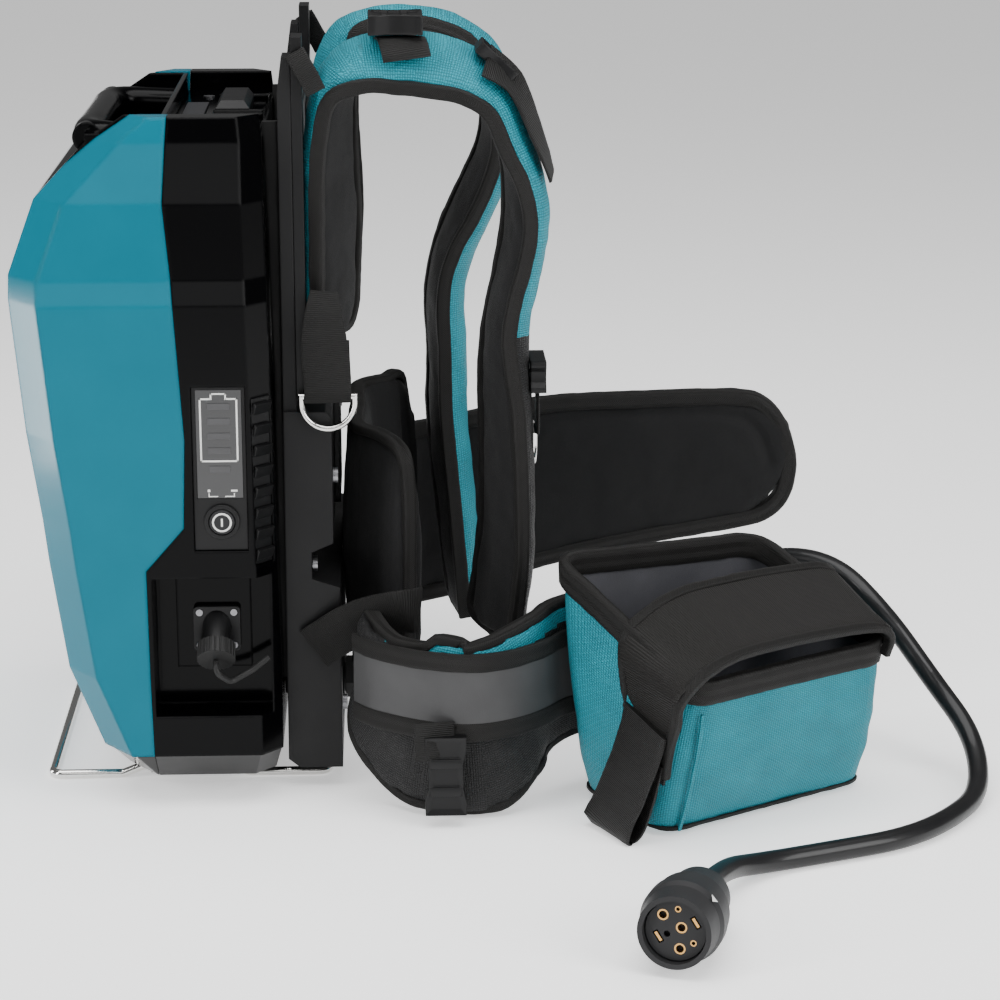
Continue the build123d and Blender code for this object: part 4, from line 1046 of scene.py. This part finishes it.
@dataclass
class ToolPouch:
    """The open pouch on the right wing, with its cross band, strap loop and bindings."""

    body: str = "pack"
    foot: Sequence[tuple[float, float]] = ((285, -214), (426, -126), (381, -48), (240, -136))
    rim: Sequence[tuple[float, float]] = ((304.4, -249.8), (440.5, -164.7), (359.7, -71.3),
                                          (218.6, -141.3))
    rim_height: float = 160.0
    corner: float = 14.0
    slope: float = 0.46
    turn: float = 32.0
    rim_start: tuple[float, float, float] = (296, -238, 104)
    wall: float = 4.0
    band_width: float = 0.062

    def place(self, along: float, deep: float, lift: float) -> Vector:
        """A place in metres on the rim's own sloped plane, whose start is the left front corner."""
        ahead = Vector((math.cos(math.radians(self.turn)), math.sin(math.radians(self.turn)), 0))
        back = Vector((-ahead.y, ahead.x, 0))
        normal = (UP - back * self.slope).normalized()
        return mm(*self.rim_start) + (ahead * along + normal.cross(ahead) * deep + normal * lift) * MM

    def beside(self, back: float, height: float, away: float) -> Vector:
        """A place in metres beside the left wall: back from its front corner, up, and out."""
        share = height / self.rim_height
        near, far = (Vector(self.foot[i]).lerp(Vector(self.rim[i]), share) for i in (0, 3))
        run = (far - near).normalized()
        spot = near + run * back + Vector((-run.y, run.x)) * away
        return mm(spot.x, spot.y, height)

    def front(self, along: float, height: float, away: float) -> Vector:
        """A place in metres on the front wall: so far from the left corner, so high, and so far out."""
        share = height / self.rim_height
        near, far = (Vector(self.foot[i]).lerp(Vector(self.rim[i]), share) for i in (0, 1))
        run = (far - near).normalized()
        bow = 4.0 * math.sin(math.pi * min(1.0, height / self.rim_start[2]))
        spot = near + run * along + Vector((run.y, -run.x)) * (away + bow)
        return mm(spot.x, spot.y, height)

    def outline(self, corners: Sequence[tuple[float, float]]) -> list[Vector]:
        """A four-cornered outline in plan with rounded corners, as even points."""
        points: list[Vector] = []
        for number, spot in enumerate(corners):
            here, after = Vector(spot), Vector(corners[(number + 1) % 4])
            to_last = (Vector(corners[number - 1]) - here).normalized() * self.corner
            to_next = (after - here).normalized() * self.corner
            points.extend((here + to_last, here + (to_last + to_next) * 0.3, here + to_next))
            points.extend(here + (after - here) * share for share in (0.2, 0.35, 0.5, 0.65, 0.8))
        return points

    def top_of(self, low: Vector, high: Vector) -> float:
        """The height in millimetres at which a wall line meets the sloped rim."""
        back = Vector((-math.sin(math.radians(self.turn)), math.cos(math.radians(self.turn))))
        start = self.rim_start[2] + self.slope * back.dot(low - Vector(self.rim_start[:2]))
        return start / (1 - self.slope * back.dot(high - low) / self.rim_height)

    def rings(self, count: int, inset: float, floor: float) -> list[list[Vector]]:
        """Rings from the floor to the rim, each wall bowed a little."""
        lows, highs = self.outline(self.foot), self.outline(self.rim)
        middle = sum((Vector(spot) for spot in self.foot), Vector((0, 0))) / 4
        found = []
        for level in range(count + 1):
            share = level / count
            ring = []
            for low, high in zip(lows, highs):
                height = floor + (self.top_of(low, high) - floor) * share
                spot = low + (high - low) * height / self.rim_height
                away = (spot - middle).normalized()
                tuck = 4.0 * max(0.0, 1 - height / 8) ** 2
                spot = spot + away * (5.0 * math.sin(math.pi * share) - inset - tuck)
                ring.append(mm(spot.x, spot.y, height))
            found.append(ring)
        return found

    def shell(self) -> None:
        """The walls and the floor: teal outside, grey lining inside."""
        outer = self.rings(18, 0.0, 0.4)
        inner = self.rings(12, self.wall, self.wall)
        wall = loft("pouch_shell", [*outer, *reversed(inner)])
        wall.data.materials.append(TEAL_CLOTH.material())
        wall.data.materials.append(GREY_LINING.material())
        outside = (len(outer) - 1) * len(outer[0])
        for number, face in enumerate(wall.data.polygons):
            face.material_index = 1 if outside <= number < len(wall.data.polygons) - 2 else 0
        settle(wall, "SUBSURF", levels=1, render_levels=1)
        crumple(wall, 0.0026, 0.05, 3.0, -0.2)
        seam = [self.front(12, height, 0.5) for height in range(4, 100, 3)]
        channel(wall, seam, 0.0016, 0.003)
        rows = [[*spot, *Vector((0.848, 0.53, 0))] for spot in seam[::4]]
        tape("pouch_front_piping", rows, 0.0022, 0.0018, TEAL_CLOTH, self.body)
        finish_piece(wall, TEAL_CLOTH, self.body, 60)
        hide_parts("pouch_body")

    def bindings(self) -> None:
        """Tape over the rim, and a seam round the foot."""
        for name, inset, level, drop, width, thick in (
            ("pouch_rim_binding", 2.0, -1, 0.002, 0.016, 0.0075),
            ("pouch_foot_seam", 0.2, 1, 0.001, 0.0026, 0.0022),
        ):
            rows = [[*(spot - UP * drop), *UP] for spot in self.rings(18, inset, 0.4)[level]]
            tape(name, rows, width, thick, BINDING, self.body, closed=True)

    def cross_band(self) -> None:
        """The broad ribbed band over the front of the mouth, which turns down the left wall to its loop."""
        over = [self.place(*spot) for spot in (
            (160, 28, -3), (161, 31, 11), (148, 34, 18), (110, 36, 20), (70, 36, 21), (34, 35, 20),
            (9, 32, 12), (-6, 28, -4))]
        down = [self.beside(25, *spot) for spot in ((84, 5), (66, 5), (46, 4.5))]
        back = (self.place(0, 1, 0) - self.place(0, 0, 0)).normalized()
        wall = Vector((-0.5, 0.866, 0))
        rows = [[*spot, *back, 1.0] for spot in over]
        rows += [[*spot, *wall, share] for spot, share in zip(down, (0.85, 0.75, 0.75))]
        tape("pouch_flap_band", rows, self.band_width, 0.0034, FLAP_CLOTH, self.body,
             replaced=["pouch_flap"])
        for label, side in (("front", -1), ("rear", 1)):
            half = side * self.band_width / 2
            edge = []
            for row in rows:
                spot = Vector(row[:3]) + Vector(row[3:6]) * half * row[6]
                edge.append([*spot, *row[3:6], 1.0])
            tape(f"pouch_flap_{label}_binding", edge, 0.007, 0.0052, BINDING, self.body)
        loop = [self.beside(25, height, away) for height, away in (
            (80, 8.5), (60, 11), (36, 17), (14, 24), (4.5, 25), (2.5, 20), (11, 14), (32, 10), (60, 7))]
        rows = [[*spot, *wall] for spot in loop]
        tape("pouch_strap_loop", rows, 0.046, 0.003, WEBBING, self.body, replaced=["pouch_strap"])

    def build(self) -> None:
        """Makes the whole pouch."""
        self.shell()
        self.bindings()
        self.cross_band()


@dataclass
class PlugCable:
    """The cable from the pack's foot to the plug; its points are listed in millimetres."""

    body: str = "pack"
    length: float = 0.847
    diameter: float = 0.0135
    points: Sequence[tuple[float, float, float]] = (
        (118.3, 30, 27), (156.3, 30, 27), (204, 27, 13), (254, 24, 7.4), (300, 20, 30), (331, 28, 76),
        (371, 13, 117), (418, -23, 125), (450, -64, 97), (480, -75, 55), (502, -111, 28),
        (498, -160, 6.95), (469, -205, 6.95), (434, -236, 6.95), (390, -253, 6.95), (341, -271, 6.95),
        (310.47, -301.88, 16.68), (298.33, -337.74, 19.99),
    )
    ends: Sequence[str] = ("plug_body", "plug_sleeve", "plug_insert", "plug_contacts", "cable_gland")

    def build(self, nodes: dict[str, bpy.types.Object]) -> None:
        curve = bpy.data.curves.new("power_cable", "CURVE")
        curve.dimensions = "3D"
        curve.bevel_depth = self.diameter / 2
        curve.bevel_resolution = 6
        curve.resolution_u = 10
        curve.use_fill_caps = True
        spline = curve.splines.new("NURBS")
        spline.points.add(len(self.points) - 1)
        for knot, place in zip(spline.points, self.points):
            knot.co = (*mm(*place), 1)
        spline.order_u = 3
        spline.use_endpoint_u = True
        cable = bpy.data.objects.new("power_cable", curve)
        bpy.context.scene.collection.objects.link(cable)
        curve.materials.append(CABLE.material())
        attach(cable, self.body)
        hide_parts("cable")
        mm(*self.points[0])
        [nodes[name] for name in self.ends]
        LOG.info("power_cable rides on %s", self.body)


# ================================================================ hard parts and the studio


@dataclass
class HardParts:
    """The moulded, metal and electric parts, which keep the frame's own shapes."""

    finishes: dict[str, Finish] = field(default_factory=lambda: {
        "rear_cover": TEAL_GLOSS, "main_housing": BLACK_GLOSS, "side_vents": BLACK_SATIN,
        "skirt_rear": BLACK_GLOSS, "base_tray": BLACK_SATIN, "carry_handle": BLACK_GLOSS,
        "top_deck": BLACK_GLOSS, "harness_latch": BLACK_SATIN, "case_screws": SCREW, "deck_label": LABEL,
        "panel_bezel": BLACK_SATIN, "gauge_lens": LENS, "gauge_bars": BAR, "status_led": BAR,
        "button_collar": BLACK_SATIN, "power_button": BUTTON, "button_switch": BLACK_SATIN,
        "port_plate": BLACK_GLOSS, "port_flange": BLACK_SATIN, "port_barrel": BLACK_SATIN,
        "port_cap": SOFT_BLACK, "cap_tether": SOFT_BLACK, "cells": CELL, "cell_holders": BLACK_SATIN,
        "bus_bars": NICKEL, "control_board": BOARD, "back_frame": FRAME_BLACK, "frame_bolts": SCREW,
        "stand_wire": STEEL, "stand_clips": BLACK_SATIN, "carriage": BLACK_SATIN,
        "yoke_plate": FRAME_BLACK, "yoke_rivets": SCREW, "d_ring_right": STEEL, "d_ring_front": STEEL,
        "cable_gland": SOFT_BLACK, "plug_body": PLUG, "plug_sleeve": PLUG, "plug_insert": PLUG,
        "plug_contacts": BRASS,
    })

    def dress(self, nodes: dict[str, bpy.types.Object]) -> None:
        """Gives each shown node its material."""
        for name, node in nodes.items():
            if name in self.finishes:
                for place in node.material_slots:
                    place.link = "OBJECT"
                    place.material = self.finishes[name].material()
                LOG.info("%s dressed as %s", name, self.finishes[name].name)
            elif not node.hide_render:
                LOG.warning("%s has no finish", name)


@dataclass
class CaseTrim:
    """The grip's round shell, which turns into its arms, and the foam seals behind the rails."""

    grip_x: float = -70.5
    grip_z: float = 426.0
    arm_y: float = 88.0
    seal_line: tuple[tuple[float, float, float], ...] = (
        (46.3, 70, 0.95), (46.3, 160, 0.95), (46.2, 256, 0.97), (45.7, 310, 1.12), (45.0, 375, 1.35),
        (44.1, 436, 1.63))

    def grip(self) -> None:
        """A round grip that bends forward at both ends."""
        lane = [(-26, 1.0, -2), (-46, 1.0, -1), (-63, 0.95, 0), (self.grip_x, 0.8, 0),
                (self.grip_x, 0.4, 0)]
        rows = [(x, -self.arm_y * share, self.grip_z + lift, 0, 0, 1) for x, share, lift in lane]
        rows += [(x, self.arm_y * share, self.grip_z + lift, 0, 0, 1) for x, share, lift in reversed(lane)]
        line = stations(in_mm(rows), 0.004)
        finish_piece(band("grip_shell", line, 0.0202, 0.0202, power=2.0), BLACK_GLOSS, "pack", 60)

    def seals(self) -> None:
        """A foam strip in the gap between the case and each rail."""
        for label, y in (("right", -92), ("left", 92)):
            rows = in_mm([(x, y, z, 1, 0, 0, wide) for x, z, wide in self.seal_line])
            tape(f"foam_seal_{label}", rows, 0.0062, 0.006, SOFT_BLACK, "pack")

    def build(self) -> None:
        """Makes the grip and the seals."""
        self.grip()
        self.seals()


def block(size: Sequence[float], place: Sequence[float]) -> bpy.types.Object:
    """A cube at its size and place, as a start for a piece."""
    bpy.ops.mesh.primitive_cube_add(size=1, location=place)
    piece = bpy.context.object
    piece.scale = size
    bpy.ops.object.transform_apply(location=True, rotation=True, scale=True)
    return piece


def join(parts: Sequence[bpy.types.Object]) -> bpy.types.Object:
    """Joins parts into the first one."""
    only(parts[0])
    for part in parts[1:]:
        part.select_set(True)
    bpy.ops.object.join()
    return parts[0]


@dataclass
class Buckle:
    """A waisted plastic buckle with a sunk middle and two bars across it, in the place of its CAD node."""

    node: str
    body: str
    face: Way
    length: Way
    tilt: float = 0.0
    size: tuple[float, float, float] | None = None
    rim: float = 0.0035
    sunk: float = 0.0022
    waist: float = 0.84
    bars: tuple[float, float] = (-0.2, 0.16)

    def build(self) -> None:
        """Makes the buckle."""
        low, high = (Vector(corner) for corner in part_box(self.node))
        middle = (low + high) / 2
        size = Vector(self.size) * MM if self.size else high - low
        thin, run = self.face.value, self.length.value
        wide = 3 - thin - run
        bpy.ops.object.select_all(action="DESELECT")
        piece = block(size, (0, 0, 0))
        piece.name = f"{self.node}_shell"
        bpy.ops.object.mode_set(mode="EDIT")
        bpy.ops.mesh.select_all(action="SELECT")
        bpy.ops.mesh.subdivide(number_cuts=5)
        self.pick(piece, lambda co, _: abs(co[run]) < size[run] * 0.3)
        waist = [1.0, 1.0, 1.0]
        waist[wide] = self.waist
        bpy.ops.transform.resize(value=waist, center_override=(0, 0, 0))
        for side in (-1, 1):
            self.pick(piece, lambda co, normal, side=side: normal[thin] * side > 0.9, faces=True)
            bpy.ops.mesh.inset(thickness=self.rim, depth=-self.sunk, use_even_offset=True)
        bpy.ops.object.mode_set(mode="OBJECT")
        parts = [piece]
        for share in self.bars:
            spread = list(size * 0.98)
            spread[wide] *= 0.8
            spread[run] *= 0.13
            place = [0.0, 0.0, 0.0]
            place[run] = size[run] * share
            parts.append(block(spread, place))
        for part in parts:
            settle(part, "BEVEL", width=0.0009, segments=2, limit_method="ANGLE")
        join(parts)
        piece.rotation_euler = (0, math.radians(self.tilt), 0)
        piece.location = middle
        bpy.ops.object.transform_apply(location=True, rotation=True, scale=True)
        finish_piece(piece, BLACK_SATIN, self.body, 35)
        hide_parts(self.node)

    @staticmethod
    def pick(piece: bpy.types.Object, wanted: Callable[[Vector, Vector], bool],
             faces: bool = False) -> None:
        """Selects points, or faces, by their place and normal, in edit mode."""
        bpy.ops.mesh.select_mode(type="FACE" if faces else "VERT")
        bpy.ops.mesh.select_all(action="DESELECT")
        mesh = bmesh.from_edit_mesh(piece.data)
        for part in mesh.faces if faces else mesh.verts:
            part.select_set(wanted(part.calc_center_median() if faces else part.co, part.normal))
        if not faces:
            mesh.select_flush(True)
        bmesh.update_edit_mesh(piece.data)


BUCKLES = (
    Buckle("chest_buckle", "harness", Way.UP, Way.AHEAD),
    Buckle("strap_buckle", "harness", Way.UP, Way.AHEAD, tilt=43.0, size=(29.0, 34.0, 8.5)),
    Buckle("strap_adjuster", "harness", Way.AHEAD, Way.UP, rim=0.0028),
    Buckle("belt_buckle", "pack", Way.SIDE, Way.UP),
)


@dataclass
class PanelMarks:
    """Generic printed marks: battery outline, gauge signs, power sign and the sleeve's triangle."""

    lens_face: float = -148.15
    battery: tuple[float, float, float, float] = (-1.4, 230.6, 22.4, 271.6)
    pen: float = 1.1
    button: tuple[float, float, float] = (11.1, -151.05, 192.0)

    def strips(self, name: str, boxes: Sequence[tuple[float, float, float, float]], face: float, body: str,
               finish: Finish = PRINT) -> bpy.types.Object:
        """Thin bars on an upright face that looks to -Y.

        Args:
            name: The piece's name.
            boxes: Each bar's low X, low Z, high X and high Z, in millimetres.
            face: The Y of the face that they lie on, in millimetres.
            body: The body that they ride on.
            finish: Their finish.

        Returns:
            One piece that holds all of the bars.
        """
        piece = join([
            block(mm(x1 - x0, 0.3, z1 - z0), mm((x0 + x1) / 2, face - 0.05, (z0 + z1) / 2)) for x0, z0, x1,
            z1 in boxes
        ])
        piece.name = name
        settle(piece, "BEVEL", width=0.00008, segments=2)
        return finish_piece(piece, finish, body)

    def gauge(self) -> None:
        """The battery's outline with its terminal, and the marks under it."""
        x0, z0, x1, z1 = self.battery
        pen, middle = self.pen, (x0 + x1) / 2
        outline = [
            (x0, z0, x0 + pen, z1), (x1 - pen, z0, x1, z1), (x0, z0, x1, z0 + pen),
            (x0, z1 - pen, middle - 4.5, z1), (middle + 4.5, z1 - pen, x1, z1),
            (middle - 5, z1 - pen, middle - 4, z1 + 3.2), (middle + 4, z1 - pen, middle + 5, z1 + 3.2),
            (middle - 5, z1 + 2.2, middle + 5, z1 + 3.2),
        ]
        self.strips("battery_outline", outline, self.lens_face, "pack")
        signs = [(2.6, 211.2, 4.2, 212.8), (17.2, 211.4, 21.2, 212.6), (3.1, 208.6, 3.7, 210.4),
                 (18.9, 208.6, 19.5, 210.4),
                 (3.1, 208.0, 9.0, 208.6), (13.4, 208.0, 19.5, 208.6)]
        self.strips("gauge_signs", signs, self.lens_face, "pack")

    def power_sign(self) -> None:
        """A ring with a short bar in it, on the button's cap."""
        x, y, z = self.button
        bpy.ops.mesh.primitive_torus_add(major_radius=0.0056, minor_radius=0.0006, major_segments=40,
                                         minor_segments=8,
                                         location=mm(x, y, z), rotation=(math.pi / 2, 0, 0))
        ring = bpy.context.object
        ring.scale = (1, 1, 0.5)
        bpy.ops.object.transform_apply(location=True, rotation=True, scale=True)
        ring.name = "power_ring"
        finish_piece(ring, PRINT, "button")
        self.strips("power_bar", [(x - 0.6, z - 2.6, x + 0.6, z + 2.6)], y, "button")

    def sleeve_mark(self) -> None:
        """A small white triangle on the plug's locking sleeve."""
        face, axis = mm(271.5, -417, 27.315), Vector((0.319393, 0.943606, -0.087156))
        outward = Vector((0.72, -0.19, 0.66))
        outward = (outward - axis * outward.dot(axis)).normalized()
        across = axis.cross(outward)
        middle = face + axis * 0.017 + outward * 0.02455
        corners = [middle + axis * a * MM + across * b * MM for a,
                   b in ((-3.4, 0), (2.2, 2.6), (2.2, -2.6))]
        mark = loft("sleeve_triangle", [[corner + outward * lift for corner in corners] for lift in (0.0,
            0.0003)])
        finish_piece(mark, PRINT, "sleeve")

    def build(self) -> None:
        """Makes all of the marks."""
        self.gauge()
        self.power_sign()
        self.sleeve_mark()


@dataclass
class Studio:
    """The pale floor, the soft lamps and the camera."""

    camera_place: tuple[float, float, float] = (0.11455, -1.86056, 0.67845)
    camera_turn: float = 2.385
    camera_pitch: float = 15.474
    lens: float = 101.64
    surround: float = 0.16
    floor_glow: float = 0.6

    def floor(self) -> None:
        """A wide pale floor."""
        bpy.ops.mesh.primitive_plane_add(size=40, location=(0, 0, 0))
        floor = bpy.context.object
        floor.name = "studio_floor"
        material = bpy.data.materials.new("pale floor")
        material.use_nodes = True
        graph = Graph(material.node_tree)
        shader = material.node_tree.nodes["Principled BSDF"]
        where = graph.add("TexCoord").outputs["Object"]
        speckle = graph.add("TexNoise", {"Vector": where, "Scale": 3.0}).outputs[0]
        graph.feed(shader.inputs["Base Color"],
                   graph.mixed(speckle, (0.86, 0.86, 0.86, 1), (0.9, 0.9, 0.9, 1)))
        shader.inputs["Roughness"].default_value = 0.95
        shader.inputs["Specular IOR Level"].default_value = 0.1
        shader.inputs["Emission Color"].default_value = (1, 1, 1, 1)
        shader.inputs["Emission Strength"].default_value = self.floor_glow
        floor.data.materials.append(material)

    def lamp(self, name: str, place: Vector, aim: Vector, size: tuple[float, float], power: float) -> None:
        """Hangs one soft lamp that faces a point."""
        light = bpy.data.lights.new(name, "AREA")
        light.shape = "RECTANGLE"
        light.size, light.size_y = size
        light.energy = power
        lamp = bpy.data.objects.new(name, light)
        lamp.location = place
        lamp.rotation_euler = (aim - place).to_track_quat("-Z", "Y").to_euler()
        bpy.context.scene.collection.objects.link(lamp)

    def build(self) -> None:
        """Sets the whole studio."""
        self.floor()
        world = bpy.data.worlds.new("pale surround")
        world.use_nodes = True
        world.node_tree.nodes["Background"].inputs[0].default_value = (1, 1, 1, 1)
        world.node_tree.nodes["Background"].inputs[1].default_value = self.surround
        bpy.context.scene.world = world
        middle = Vector((0.12, -0.05, 0.22))
        self.lamp("overhead", Vector((0.1, -0.3, 1.9)), middle, (2.2, 1.6), 56)
        self.lamp("rear_left_strip", Vector((-1.5, -1.1, 0.7)), Vector((-0.1, -0.1, 0.25)), (0.3, 1.9), 26)
        self.lamp("front_right", Vector((1.6, -1.3, 1.0)), middle, (1.0, 1.4), 34)
        self.lamp("corner_glint", Vector((-0.66, 0.08, 0.17)), Vector((-0.11, -0.14, 0.2)), (0.1, 0.34),
                  1.6)
        self.lamp("camera_side", Vector((-0.2, -2.6, 1.5)), middle, (1.6, 0.7), 8)
        camera = bpy.data.objects.new("camera", bpy.data.cameras.new("camera"))
        camera.data.lens = self.lens
        camera.data.sensor_width = 36
        camera.location = self.camera_place
        camera.rotation_euler = (math.radians(90 - self.camera_pitch), 0, math.radians(-self.camera_turn))
        bpy.context.scene.collection.objects.link(camera)
        bpy.context.scene.camera = camera


def main() -> None:
    """Builds the looks round the frame."""
    logging.basicConfig(level=logging.INFO, format="%(message)s")
    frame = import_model()
    bpy.ops.object.select_all(action="DESELECT")
    Studio().build()
    PlugCable().build(frame["nodes"])
    ShoulderHarness().build()
    HipBelt().build()
    ToolPouch().build()
    CaseTrim().build()
    PanelMarks().build()
    for buckle in BUCKLES:
        buckle.build()
    HardParts().dress(frame["nodes"])
    bpy.context.view_layer.update()


if __name__ == "__main__":
    main()
